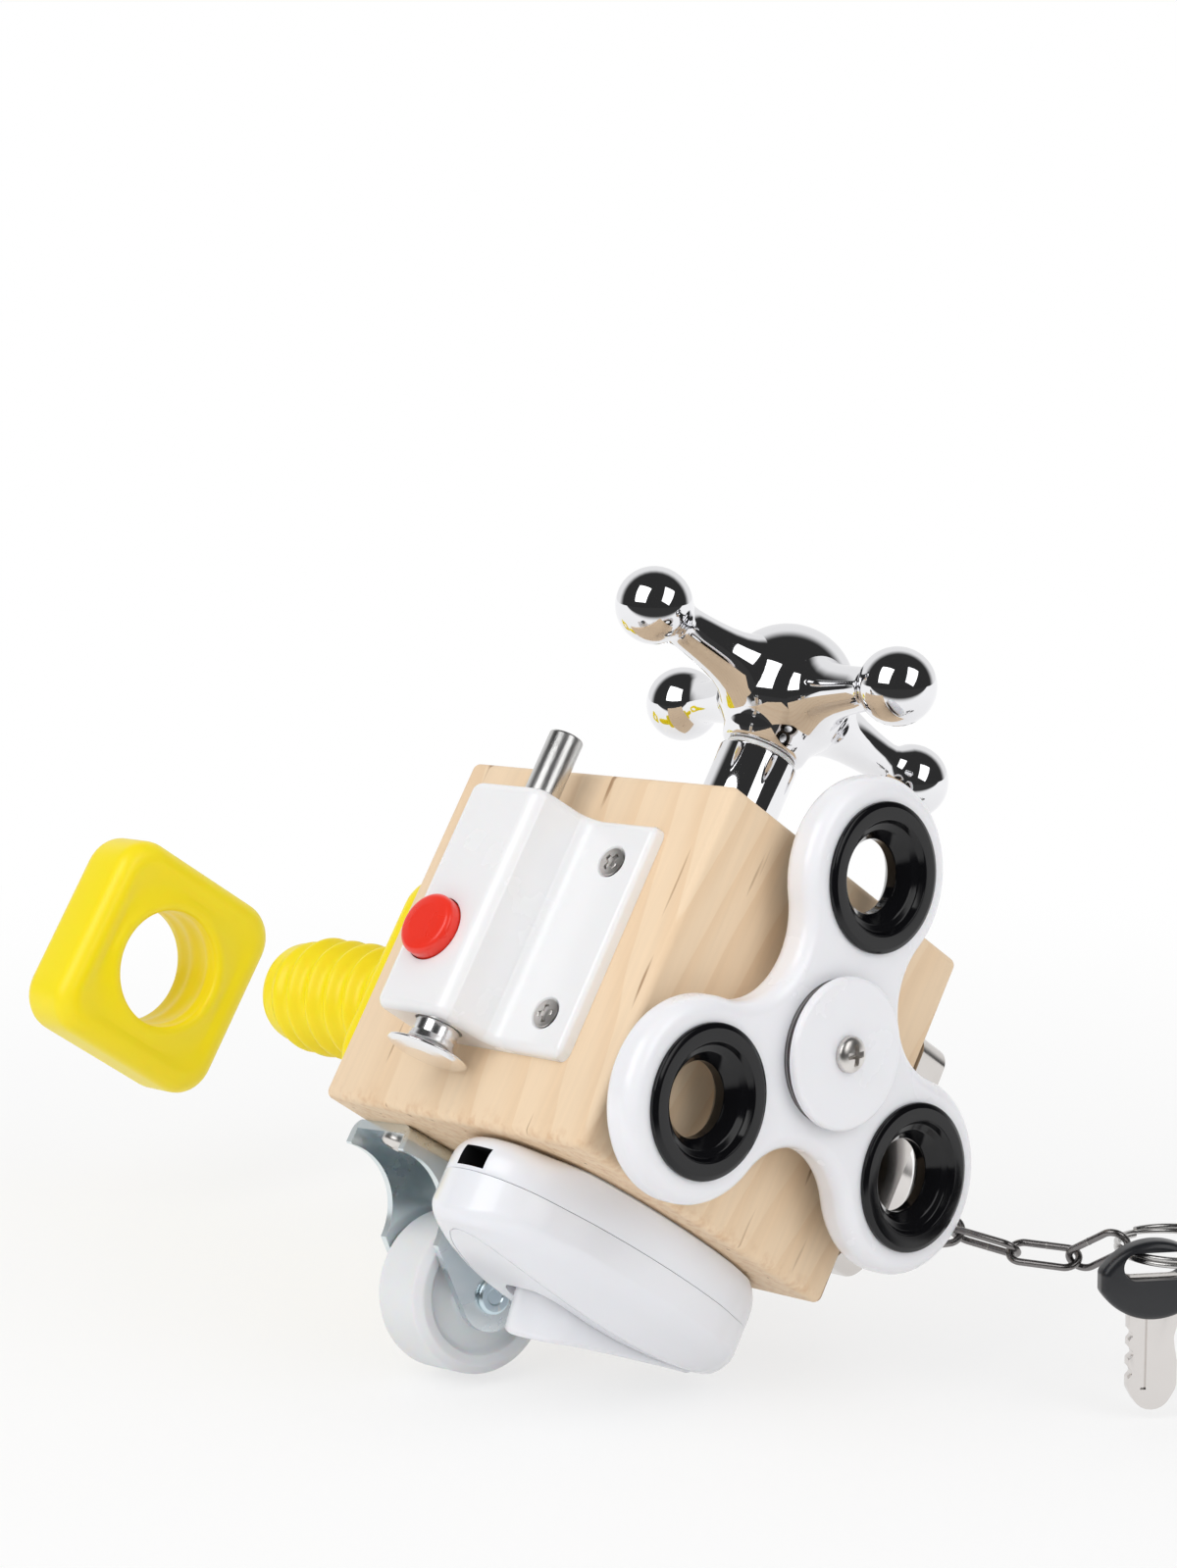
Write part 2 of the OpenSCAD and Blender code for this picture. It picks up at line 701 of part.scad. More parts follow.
module caster_washers() {
    color(steel) at_caster() for (s = [-1, 1])
        translate([s * (wheel_w / 2 + 0.075 + washer_t / 2), -axle_y, axle_drop]) rotate([0, 90, 0])
            translate([0, 0, -washer_t / 2]) tube(3.6, axle_r + run_gap, washer_t);
}

module caster_screws() {
    color(steel) on_bottom() caster_screw_places() translate([0, 0, sheet_t])
        pan_screw(2.9, 1.5, wood_screw_r, sheet_t + caster_screw_bite);
}

// ======================= cord switch ======================================
switch_x = 9;
switch_y = 1.2;
shell_t = 2;
side_arc_r = 73;
nose_r = 12;
crown_r = 125;
roll_r = 21;
base_round = 5;
cover_round = 9;
split_gap = 0.05;
inlet_w = 5.8;
inlet_h = 3.9;
rocker_half_w = 5.6;
rocker_reach = 18;       // from the pivot to either end
rocker_at = -6;          // pivot's place along the body, from its middle
rocker_depth = 14.2;     // pivot's depth
rocker_foot = 11.6;      // depth of the rocker's inner face
rocker_rise = 5.4;       // raised end above the shell
rocker_swing = 11;
pivot_r = 1.1;
seesaw_depth = shell_t + 1.45;           // axis the moving contact rocks about
switch_screw_bite = 8;
switch_screw_y = [-20.5, 20.5];

module at_switch() { on_bottom() translate([switch_x, -switch_y, 0]) children(); }
module switch_wood_screw_places() {
    for (y = switch_screw_y) translate([switch_x, -switch_y + y, 0]) children();
}

// Long outline with bowed sides and round ends, shrunk by inset.
module switch_outline(inset) {
    bow_at = side_arc_r - switch_w / 2;
    nose_at = switch_len / 2 - nose_r;
    intersection() {
        translate([-bow_at, 0]) circle(side_arc_r - inset, $fn = 180);
        translate([bow_at, 0]) circle(side_arc_r - inset, $fn = 180);
        union() {
            square([switch_w + 10, 2 * nose_at], center = true);
            for (s = [-1, 1]) translate([0, s * nose_at]) circle(nose_r - inset, $fn = 96);
        }
    }
}

// The body's solid: its outline, rounded over at the ends and along the crown.
module switch_solid(inset, z0, z1, end_round) {
    tall = 2 * switch_deep;
    intersection() {
        translate([0, 0, z0]) linear_extrude(z1 - z0) switch_outline(inset);
        translate([-50, 0, switch_deep - inset - crown_r]) rotate([0, 90, 0])
            cylinder(r = crown_r, h = 100, $fn = 180);
        translate([0, 50, switch_deep - inset - roll_r]) rotate([90, 0, 0])
            cylinder(r = roll_r, h = 100, $fn = 96);
        rotate([90, 0, 90]) translate([0, 0, -50]) linear_extrude(100)
            translate([0, end_round == base_round ? tall / 2 : switch_deep - tall / 2])
                round_rect(switch_len - 2 * inset, tall - 2 * inset, end_round);
    }
}

module switch_base() {
    color(white) at_switch() difference() {
        switch_solid(0, 0, switch_split, base_round);
        translate([0, 0, shell_t]) linear_extrude(switch_split) switch_outline(shell_t);
        translate([-inlet_w / 2, switch_len / 2 - shell_t - 4, switch_split - inlet_h])
            cube([inlet_w, shell_t + 6, inlet_h + 1]);
        for (y = switch_screw_y) translate([0, y, -1]) cylinder(r = small_screw_r + 0.15, h = 5);
    }
}

module at_pivot() { translate([0, rocker_at, rocker_depth]) rotate([0, 90, 0]) children(); }

// Outline of the key from below: square at one end and round at the raised end.
module rocker_outline(slack, shift) {
    round_at = rocker_at + rocker_reach - rocker_half_w + shift;
    foot_at = rocker_at - rocker_reach - 2;
    translate([0, round_at]) circle(rocker_half_w + slack);
    translate([-rocker_half_w - slack, foot_at]) square([2 * (rocker_half_w + slack),
        round_at - foot_at]);
}

module switch_cover() {
    color(white) at_switch() difference() {
        switch_solid(0, switch_split + split_gap, switch_deep + 1, cover_round);
        difference() {
            switch_solid(shell_t, switch_split - 1, switch_deep, cover_round);
            for (s = [-1, 1]) translate([s * (rocker_half_w + 1.7), rocker_at, 10])
                cube([2.4, 8, 20], center = true);
        }
        intersection() {
            translate([0, 0, 5]) linear_extrude(20) rocker_outline(0.35, 1.2);
            at_pivot() cylinder(r = rocker_reach + 0.35, h = 60, center = true, $fn = 120);
        }
        at_pivot() cylinder(r = pivot_r + run_gap, h = 2 * rocker_half_w + 7, center = true);
    }
}

// Wedge-shaped key whose ends are arcs about its own pivot.
module switch_rocker() {
    low_end = rocker_at - rocker_reach;
    high_end = rocker_at + rocker_reach;
    color(white) at_switch() difference() {
        intersection() {
            translate([-rocker_half_w, 0, 0]) rotate([90, 0, 90])
                linear_extrude(2 * rocker_half_w)
                polygon([[low_end - 1, rocker_foot], [low_end - 1, switch_deep - 1.9],
                    [high_end + 1, switch_deep + rocker_rise], [high_end + 1, rocker_foot]]);
            at_pivot() cylinder(r = rocker_reach, h = 60, center = true, $fn = 120);
            linear_extrude(40) rocker_outline(0, 0);
        }
        at_pivot() cylinder(r = pivot_r + run_gap, h = 60, center = true);
    }
}

module switch_pivot() {
    color(steel) at_switch() at_pivot()
        cylinder(r = pivot_r, h = 2 * rocker_half_w + 5.6, center = true);
}

module switch_contacts() {
    color(brass) at_switch() for (s = [-1, 1])
        translate([0, rocker_at + s * 8, 0]) {
            translate([-2.5, -2.5, shell_t + 0.05]) cube([5, 5, 1]);
            translate([0, 0, shell_t + 1]) cylinder(r = 1.3, h = 1.2);
        }
}

module switch_seesaw() {
    color(brass) at_switch() translate([0, rocker_at, 0]) {
        translate([-2.5, -11.5, 6.6]) cube([5, 23, 0.8]);
        translate([-2, -1.4, seesaw_depth]) cube([4, 2.8, 6.6 + eps - seesaw_depth]);
        translate([-2, 0, seesaw_depth]) rotate([0, 90, 0]) cylinder(r = 1.4, h = 4);
    }
}

module switch_screws() {
    color(steel) at_switch() for (y = switch_screw_y) translate([0, y, shell_t])
        pan_screw(2.4, 1.4, small_screw_r, shell_t + switch_screw_bite);
}

// ======================= bolt and nut =====================================
bolt_y = -5;
bolt_z = 24.5;
bolt_screw_r = 2;
bolt_screw_bite = 14;
screw_head_r = 3.9;
square_corner_r = 7;
thread_root = thread_r - thread_deep;
nut_bore_r = thread_r + 0.2;

module at_bolt() { on_left() translate([-bolt_y, bolt_z, 0]) children(); }

module soft_square() { round_rect(bolt_square, bolt_square, square_corner_r); }

// One rounded ridge of the thread, as a ring.
module ridge_2d(at, height, crest) {
    polygon([[at, -height / 2], [at + crest * 0.8, -height / 5], [at + crest, 0],
        [at + crest * 0.8, height / 5], [at, height / 2]]);
}

module toy_bolt() {
    ridges = floor((bolt_len - 6) / thread_pitch);
    tip_round = 4;
    color(yellow) at_bolt() difference() {
        union() {
            linear_extrude(bolt_head_t) soft_square();
            rotate_extrude($fn = 96) {
                translate([0, bolt_head_t - 1]) square([thread_root, bolt_len + 1 - tip_round]);
                translate([0, bolt_head_t + bolt_len - tip_round - eps])
                    square([thread_root - tip_round, tip_round + eps]);
                translate([thread_root - tip_round, bolt_head_t + bolt_len - tip_round])
                    circle(tip_round);
                for (i = [0:ridges - 1]) translate([0, bolt_head_t + (i + 0.8) * thread_pitch])
                    ridge_2d(thread_root - 0.1, thread_pitch * 0.85, thread_deep + 0.1);
            }
        }
        translate([0, 0, -1]) cylinder(r = bolt_screw_r + 0.1, h = bolt_head_t + bolt_len + 2);
        translate([0, 0, bolt_head_t + 6]) cylinder(r = screw_head_r + 0.3, h = bolt_len);
    }
}

module toy_bolt_screw() {
    color(steel) at_bolt() translate([0, 0, bolt_head_t + 6])
        pan_screw(screw_head_r, 2.6, bolt_screw_r, bolt_head_t + 6 + bolt_screw_bite);
}

module toy_nut() {
    start = bolt_head_t + bolt_len + nut_off;
    color(yellow) at_bolt() translate([0, 0, start]) difference() {
        linear_extrude(nut_t) soft_square();
        translate([0, 0, -1]) cylinder(r = nut_bore_r, h = nut_t + 2, $fn = 96);
        for (z = [thread_pitch / 2:thread_pitch:nut_t - 1]) translate([0, 0, z])
            rotate_extrude($fn = 96)
                ridge_2d(nut_bore_r - 0.05, thread_pitch * 0.8, thread_deep);
    }
}

// ======================= lock =============================================
lock_x = 9.5;
lock_z = 27;
lock_corner_r = 3.5;
lock_wall = 1.1;
lock_screw_off = 15.7;
lock_screw_bite = 12;
plug_r = 6.6;
plug_back = 4.1;
pin_throw = 4.4;         // cam pin's distance from the plug's axis
cam_pin_r = 1.2;
bolt_w = 15;
lock_bolt_t = 2.4;
lock_bolt_z = 1.4;       // its back face, off the block
bolt_throw = 2 * pin_throw * sin(45);
slot_slack = 0.25;

module at_lock() { on_back() translate([-lock_x, lock_z, 0]) children(); }
eye_drop = 10.4;         // chain's eye below the barrel's axis
module lock_screw_places() {
    for (sx = [-1, 1], sz = [-1, 1])
        translate([-lock_x + sx * lock_screw_off, lock_z + sz * lock_screw_off, 0]) children();
}
module eye_place() { translate([-lock_x - lock_screw_off, lock_z - eye_drop, 0]) children(); }

module lock_case() {
    color(chrome) at_lock() difference() {
        linear_extrude(lock_t) round_rect(lock_w, lock_h, lock_corner_r);
        translate([-bolt_w / 2 - 0.2, -lock_h / 2 + 4, lock_bolt_z - 0.2])
            cube([bolt_w + 0.4, lock_h, lock_bolt_t + 0.4]);
        translate([0, 0, lock_bolt_z]) cylinder(r = plug_r + run_gap, h = lock_t);
        translate([lock_x, -lock_z, -1]) {
            lock_screw_places() cylinder(r = wood_screw_r + 0.2, h = lock_t + 2);
            eye_place() cylinder(r = wood_screw_r + 0.2, h = lock_t + 2);
        }
    }
}

module lock_barrel() {
    color(chrome) at_lock() translate([0, 0, lock_t]) difference() {
        union() {
            tube(barrel_r, plug_r + run_gap, barrel_len - 0.8);
            translate([0, 0, barrel_len - 0.8]) difference() {
                cylinder(r1 = barrel_r, r2 = barrel_r - 0.8, h = 0.8);
                translate([0, 0, -1]) cylinder(r = plug_r + run_gap, h = 3);
            }
        }
    }
}

module lock_plug() {
    plug_len = lock_t + barrel_len - plug_back - 0.6;
    color(steel) at_lock() difference() {
        union() {
            translate([0, 0, plug_back]) cylinder(r = plug_r, h = plug_len);
            rotate([0, 0, -45]) translate([pin_throw, 0, lock_bolt_z + 0.1])
                cylinder(r = cam_pin_r, h = plug_back - lock_bolt_z);
        }
        translate([-1.1, -3.9, plug_back + 2]) cube([2.2, 7.8, plug_len]);
    }
}

module lock_bolt() {
    foot = -lock_h / 2 + 5;
    top = lock_h / 2 - 0.2;
    slot_y = -pin_throw * sin(45);
    color(steel) at_lock() difference() {
        translate([-bolt_w / 2, foot, lock_bolt_z]) cube([bolt_w, top - foot, lock_bolt_t]);
        translate([pin_throw * cos(45) - cam_pin_r - 0.4, slot_y - cam_pin_r - slot_slack,
            lock_bolt_z - 1]) cube([pin_throw * (1 - cos(45)) + 2 * cam_pin_r + 0.8,
            2 * (cam_pin_r + slot_slack), lock_bolt_t + 2]);
    }
}

module lock_screws() {
    color(steel) on_back() lock_screw_places() translate([0, 0, lock_t])
        pan_screw(2.8, 1.7, wood_screw_r, lock_t + lock_screw_bite);
}

// ======================= chain, ring and keys =============================
wire_r = wire_d / 2;
eye_wire_r = 0.8;
eye_loop_r = 3.9;
eye_roll = -10;         // turn of the eye's wire
link_gap = 0.15;
ring_wire_r = 0.9;

// Directions of the pieces that hang: each link, then the ring.
function heading(az, el) = [cos(el) * cos(az), cos(el) * sin(az), sin(el)];
link_heading = [heading(27, 27), heading(20, 1), heading(24, 11), heading(-14, 26)];
link_roll = [0, 0, -24, 0];
ring_up = [0.05, -0.56, 0.82];          // the ring's plane faces this way
ring_heading = heading(42.5, 22.8);

function unit(v) = v / norm(v);
function rolled(along, side, roll) = cos(roll) * side + sin(roll) * cross(along, side);
eye_pos = [lock_x + lock_screw_off, block_d / 2 + lock_t, lock_z - eye_drop];
eye_mid = eye_pos + [0, 0.6 + eye_wire_r + eye_loop_r, 0];
eye_cross = [cos(eye_roll), 0, -sin(eye_roll)];
eye_pull = unit([link_heading[0][1], link_heading[0] * eye_cross]);
eye_apex = eye_mid + eye_loop_r * (eye_pull[0] * [0, 1, 0] + eye_pull[1] * eye_cross);
eye_wire_dir = eye_pull[0] * eye_cross - eye_pull[1] * [0, 1, 0];

// A piece of the chain: [start of its first arc, heading, side, pull point, wire direction there].
function hook(p, along, roll, cross_dir, next) =
    let (side = rolled(along, unit(cross(along, cross_dir)), roll),
        first = p + along * (link_end_r - wire_d - link_gap),
        last = first + along * link_run,
        pull = unit([max(next * along, 0.2), next * side]),
        tip = last + link_end_r * (pull[0] * along + pull[1] * side),
        wire_dir = pull[0] * side - pull[1] * along)
    [first, along, side, tip, wire_dir];

eye_reach = eye_wire_r - wire_r;        // the first link sits a little deeper on the eye
link_1 = hook(eye_apex - link_heading[0] * eye_reach, link_heading[0], link_roll[0],
    eye_wire_dir, link_heading[1]);
link_2 = hook(link_1[3], link_heading[1], link_roll[1], link_1[4], link_heading[2]);
link_3 = hook(link_2[3], link_heading[2], link_roll[2], link_2[4], link_heading[3]);
link_4 = hook(link_3[3], link_heading[3], link_roll[3], link_3[4], ring_heading);
ring_side = unit(cross(ring_up, ring_heading));
ring_mid = link_4[3] + ring_heading * (ring_r - wire_r - ring_wire_r - link_gap);

module in_frame(at, x_dir, y_dir) {
    z_dir = cross(x_dir, y_dir);
    multmatrix([[x_dir[0], y_dir[0], z_dir[0], at[0]], [x_dir[1], y_dir[1], z_dir[1], at[1]],
        [x_dir[2], y_dir[2], z_dir[2], at[2]], [0, 0, 0, 1]]) children();
}

module chain_link(link) {
    color(dark_wire) in_frame(link[0], link[1], link[2]) {
        for (s = [-1, 1]) translate([0, s * link_end_r, 0]) rotate([0, 90, 0])
            cylinder(r = wire_r, h = link_run);
        rotate([0, 0, 90]) rotate_extrude(angle = 180) translate([link_end_r, 0]) circle(wire_r);
        translate([link_run, 0, 0]) rotate([0, 0, -90]) rotate_extrude(angle = 180)
            translate([link_end_r, 0]) circle(wire_r);
    }
}
module chain_link_1() { chain_link(link_1); }
module chain_link_2() { chain_link(link_2); }
module chain_link_3() { chain_link(link_3); }
module chain_link_4() { chain_link(link_4); }

module chain_eye() {
    color(steel) on_back() eye_place() {
        translate([0, 0, lock_t]) cylinder(r = 2.2, h = 0.6 + eye_wire_r);
        translate([0, 0, lock_t]) shank(wood_screw_r, lock_t + lock_screw_bite);
    }
    color(steel) in_frame(eye_mid, eye_cross, [0, 1, 0])
        rotate_extrude() translate([eye_loop_r, 0]) circle(eye_wire_r);
}

module key_ring() {
    color(steel) in_frame(ring_mid, ring_heading, ring_side)
        rotate_extrude($fn = 96) translate([ring_r, 0]) circle(ring_wire_r);
}

// A key hangs from the ring: local x is across the blade, y its thickness, -z down.
bow_hole_r = 2.2;
bow_slot = 3;            // half the run of the slot between its round ends
bow_w = 17;
bow_h = 12.5;
bow_t = 4;
bow_arc_r = 10;
blade_t = 2;
hole_drop = bow_hole_r - ring_wire_r - 0.35;

// A key hangs at an angle round the ring, turned a little on the wire and shifted in its slot.
module at_key(place) {
    a = place[0];
    at = ring_mid + ring_r * (cos(a) * ring_heading + sin(a) * ring_side);
    tangent = unit(-sin(a) * ring_heading + cos(a) * ring_side);
    thick = cos(place[1]) * tangent + sin(place[1]) * unit(cross(tangent, hang_down));
    down_dir = unit(cross(cross(thick, hang_down), thick));
    in_frame(at, cross(thick, -down_dir), thick)
        translate([place[2], 0, -hole_drop]) children();
}

hang_down = [-0.064, 0.576, -0.815];
key_1_place = [222, -33, -2.2];
key_2_place = [20, 0, 0];

module key_bow() {
    color(black) rotate([90, 0, 0]) translate([0, -bow_h / 2 + bow_hole_r + 1.6, -bow_t / 2])
        difference() {
            linear_extrude(bow_t) intersection() {
                translate([0, bow_arc_r - bow_h / 2]) circle(bow_arc_r);
                translate([0, bow_h / 2 - bow_arc_r]) circle(bow_arc_r);
                square([bow_w, 40], center = true);
            }
            translate([0, bow_h / 2 - bow_hole_r - 1.6, -1]) linear_extrude(bow_t + 2) {
                square([2 * bow_slot, 2 * bow_hole_r], center = true);
                for (s = [-1, 1]) translate([s * bow_slot, 0]) circle(bow_hole_r);
            }
            translate([-blade_w / 2 - 0.05, -bow_h, bow_t / 2 - blade_t / 2 - 0.05])
                cube([blade_w + 0.1, bow_h - 0.5, blade_t + 0.1]);
        }
}

module key_blade() {
    tip = -bow_h + bow_hole_r + 1.6 - blade_len;
    top = -bow_h / 2 + bow_hole_r + 1.6 - 0.6;
    color(chrome) difference() {
        rotate([90, 0, 0]) translate([0, 0, -blade_t / 2]) linear_extrude(blade_t) union() {
            translate([-blade_w / 2, tip + blade_w / 2]) square([blade_w, top - tip - blade_w / 2]);
            translate([0, tip + blade_w / 2]) circle(blade_w / 2);
        }
        for (z = [tip + 5:3:tip + 14]) translate([blade_w / 2 + 0.4, 0, z]) rotate([90, 0, 0])
            cylinder(r = 1.3, h = 6, center = true);
        translate([-1.2, -blade_t, tip + 2]) cube([0.9, blade_t + 0.4 - 0.9, blade_len - 2]);
    }
}

module key_1_bow() { at_key(key_1_place) key_bow(); }
module key_1_blade() { at_key(key_1_place) key_blade(); }
module key_2_bow() { at_key(key_2_place) key_bow(); }
module key_2_blade() { at_key(key_2_place) key_blade(); }

block();
tap_neck();
tap_spindle();
tap_clip();
tap_washer();
tap_handle();
tap_grub_screw();
spinner_body();
spinner_weight_1();
spinner_weight_2();
spinner_weight_3();
bearing_outer();
bearing_inner();
bearing_balls();
bearing_cage();
spinner_cap_front();
spinner_cap_back();
spinner_screw();
latch_case();
latch_rod();
latch_knob();
latch_spring();
latch_button();
latch_button_spring();
latch_screws();
caster_fork();
caster_wheel();
caster_axle();
caster_washers();
caster_screws();
switch_base();
switch_cover();
switch_rocker();
switch_pivot();
switch_contacts();
switch_seesaw();
switch_screws();
toy_bolt();
toy_bolt_screw();
toy_nut();
lock_case();
lock_barrel();
lock_plug();
lock_bolt();
lock_screws();
chain_eye();
chain_link_1();
chain_link_2();
chain_link_3();
chain_link_4();
key_ring();
key_1_blade();
key_1_bow();
key_2_blade();
key_2_bow();
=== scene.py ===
"""Looks and stage for a small wooden busy board: a pine block with a fitting on each face."""

import math

import bmesh
import bpy
from bpy.props import FloatProperty, FloatVectorProperty, PointerProperty
from mathutils import Matrix, Vector


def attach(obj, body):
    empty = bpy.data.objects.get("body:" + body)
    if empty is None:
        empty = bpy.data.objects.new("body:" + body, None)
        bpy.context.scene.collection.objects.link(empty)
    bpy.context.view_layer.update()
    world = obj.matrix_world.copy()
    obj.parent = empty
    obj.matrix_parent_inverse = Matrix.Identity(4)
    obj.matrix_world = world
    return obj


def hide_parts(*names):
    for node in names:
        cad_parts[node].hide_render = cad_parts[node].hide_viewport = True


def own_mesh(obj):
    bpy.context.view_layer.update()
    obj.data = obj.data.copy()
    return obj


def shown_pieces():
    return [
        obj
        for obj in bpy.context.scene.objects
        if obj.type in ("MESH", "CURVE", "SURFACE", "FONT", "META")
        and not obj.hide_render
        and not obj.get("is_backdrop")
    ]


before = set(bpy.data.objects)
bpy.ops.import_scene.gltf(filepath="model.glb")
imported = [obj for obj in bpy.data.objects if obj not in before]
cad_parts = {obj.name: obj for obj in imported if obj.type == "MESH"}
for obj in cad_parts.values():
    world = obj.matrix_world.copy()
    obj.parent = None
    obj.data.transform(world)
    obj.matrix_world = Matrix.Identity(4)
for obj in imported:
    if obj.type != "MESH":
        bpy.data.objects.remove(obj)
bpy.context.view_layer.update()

bl_info = {
    "name": "Wooden busy block",
    "version": (1, 0, 0),
    "blender": (4, 5, 0),
    "location": "3D View > Sidebar > Busy block",
    "description": "Builds the finished pieces of a small pine block with hardware on every face",
    "category": "Add Mesh",
}

# shapes are drawn in millimetres, and the scene is in metres
MM = 0.001
BLOCK = 60
HALF = BLOCK / 2


def turned(axis, degrees):
    return Matrix.Rotation(math.radians(degrees), 4, axis)


def at(x, y, z):
    return Matrix.Translation((x, y, z))


def axes(x_dir, y_dir, z_dir, origin=(0, 0, 0)):
    """Matrix whose columns are three directions and an origin."""
    return Matrix([(*x_dir, 0), (*y_dir, 0), (*z_dir, 0), (*origin, 1)]).transposed()


# each face of the block has its own place, with z pointing out of the wood
WORLD = Matrix.Identity(4)
TOP = at(0, 0, BLOCK)
BOTTOM = axes((1, 0, 0), (0, -1, 0), (0, 0, -1))
RIGHT = axes((0, 1, 0), (0, 0, 1), (1, 0, 0), (HALF, 0, 0))
LEFT = axes((0, -1, 0), (0, 0, 1), (-1, 0, 0), (-HALF, 0, 0))
FRONT = axes((1, 0, 0), (0, 0, 1), (0, -1, 0), (0, -HALF, 0))
BACK = axes((-1, 0, 0), (0, 0, 1), (0, 1, 0), (0, HALF, 0))


# ---- sizes and colours a user would change
def size(name, description, default, low, high, unit="LENGTH"):
    return FloatProperty(name=name, description=description, default=default, min=low, max=high,
                         unit=unit, precision=4)


def paint(name, description, default):
    return FloatVectorProperty(name=name, description=description, default=default, size=3,
                               min=0.0, max=1.0, subtype="COLOR")


class BlockSettings(bpy.types.PropertyGroup):
    side: size("Side", "Width, depth and height of the block", 0.060, 0.055, 0.065)
    ease: size("Eased edge", "Radius of the block's edges", 0.0013, 0.0005, 0.003)
    pale: paint("Early wood", "Pale wood between the rings", (0.86, 0.665, 0.46))
    warm: paint("Late wood", "Darker wood of each ring", (0.78, 0.55, 0.34))
    sawn: paint("Sawn edge", "Rough wood along the lower edges", (0.58, 0.29, 0.12))
    pore: paint("Pores", "Short dark streaks", (0.30, 0.15, 0.06))


class TapSettings(bpy.types.PropertyGroup):
    hub: size("Hub radius", "Radius of the handle's round hub", 0.0114, 0.009, 0.0125)
    ball: size("Ball radius", "Radius of the four balls", 0.0063, 0.005, 0.0065)
    reach: size("Reach", "Distance of each ball from the axis", 0.0294, 0.026, 0.030)
    chrome: paint("Chrome", "Tint of the plated metal", (0.86, 0.86, 0.88))


class SpinnerSettings(bpy.types.PropertyGroup):
    thick: size("Plate", "Thickness of the three-lobed plate", 0.0064, 0.005, 0.007)
    round_edge: size("Plate's edge", "Radius of the plate's outer edge", 0.0024, 0.001, 0.003)
    plate: paint("Plate", "White moulded plastic", (0.86, 0.86, 0.89))
    weights: paint("Weights", "Black glossy plastic", (0.004, 0.004, 0.005))


class LatchSettings(bpy.types.PropertyGroup):
    casing: paint("Casing", "White moulded plastic", (0.86, 0.86, 0.87))
    button: paint("Button", "Red plastic", (0.85, 0.030, 0.012))
    pin: paint("Pin", "Zinc plated steel", (0.70, 0.70, 0.69))


class CasterSettings(bpy.types.PropertyGroup):
    wheel: paint("Wheel", "White nylon", (0.80, 0.82, 0.84))
    bracket: paint("Bracket", "Blue zinc plated steel", (0.64, 0.76, 0.82))


class SwitchSettings(bpy.types.PropertyGroup):
    length: size("Length", "Length of the switch", 0.063, 0.060, 0.064)
    width: size("Width", "Width at its middle", 0.031, 0.029, 0.032)
    depth: size("Depth", "Depth at its crown", 0.0185, 0.017, 0.019)
    shell: paint("Shells", "White moulded plastic", (0.84, 0.85, 0.89))


class BoltSettings(bpy.types.PropertyGroup):
    square: size("Square", "Width of the bolt's head and of the nut", 0.038, 0.034, 0.0385)
    pitch: size("Pitch", "Pitch of the coarse thread", 0.005, 0.004, 0.006)
    yellow: paint("Yellow", "Bright moulded plastic", (1.0, 0.80, 0.002))


class LockSettings(bpy.types.PropertyGroup):
    nickel: paint("Nickel", "Nickel plate of lock and key blades", (0.74, 0.71, 0.69))


class ChainSettings(bpy.types.PropertyGroup):
    wire: size("Wire", "Diameter of the chain's wire", 0.00115, 0.0009, 0.0012)
    dark: paint("Wire", "Dark steel of the chain", (0.20, 0.19, 0.19))
    bow: paint("Key bow", "Black plastic of the key bows", (0.010, 0.011, 0.014))


class StageSettings(bpy.types.PropertyGroup):
    floor: paint("Floor", "Plain pale floor", (0.90, 0.90, 0.90))
    key: size("Key lamp", "Power of the left lamp", 1.45, 0.0, 10.0, "POWER")
    fill: size("Fill lamp", "Power of the right lamp", 0.8, 0.0, 10.0, "POWER")
    sky: size("Surround", "Strength of the plain surrounding light", 0.68, 0.0, 1.0, "NONE")


# ---- shapes: every shape is (points, faces)
ALMOST_STRAIGHT = 3.1
LEAST_LEFT = 0.6


def arc(cx, cy, radius, start, end, steps):
    turns = [math.radians(start + (end - start) * i / steps) for i in range(steps + 1)]
    return [(cx + radius * math.cos(a), cy + radius * math.sin(a)) for a in turns]


def circle(count, start=0.0):
    """Cosine and sine of evenly spread directions."""
    turns = [math.tau * (k + start) / count for k in range(count)]
    return [(math.cos(a), math.sin(a)) for a in turns]


def quarter(steps):
    """How far in and how far up a rounded rim is at each step, for a radius of 1."""
    turns = [math.pi / 2 * k / steps for k in range(steps + 1)]
    return [(1 - math.sin(a), 1 - math.cos(a)) for a in turns]


def rims(z0, z1, edge, steps):
    """Inset and height of each ring of a plate with two rounded rims."""
    return ([(edge * inward, z0 + edge * up) for inward, up in quarter(steps)]
            + [(edge * up, z1 - edge * inward) for inward, up in quarter(steps)])


def soften(corners, radius=0.0, steps=5, closed=False):
    """A line or outline with rounded corners; a corner's third number is its own radius."""
    out = []
    count = len(corners)
    for i, corner in enumerate(corners):
        own = corner[2] if len(corner) > 2 else radius
        p = Vector(corner[:2])
        if own <= 0 or (not closed and i in (0, count - 1)):
            out.append(p)
            continue
        a, b = (Vector(corners[j % count][:2]) - p for j in (i - 1, i + 1))
        room = min(a.length, b.length) * 0.49
        a.normalize()
        b.normalize()
        angle = a.angle(b)
        if angle > ALMOST_STRAIGHT:
            out.append(p)
            continue
        cut = min(own / math.tan(angle / 2), room)
        centre = p + (a + b).normalized() * (cut / math.cos(angle / 2))
        first, last = (p + way * cut - centre for way in (a, b))
        total = first.angle(last)
        for k in range(steps + 1):
            t = k / steps
            v = first * math.sin((1 - t) * total) + last * math.sin(t * total)
            out.append(centre + v / math.sin(total))
    return [(v.x, v.y) for v in out]


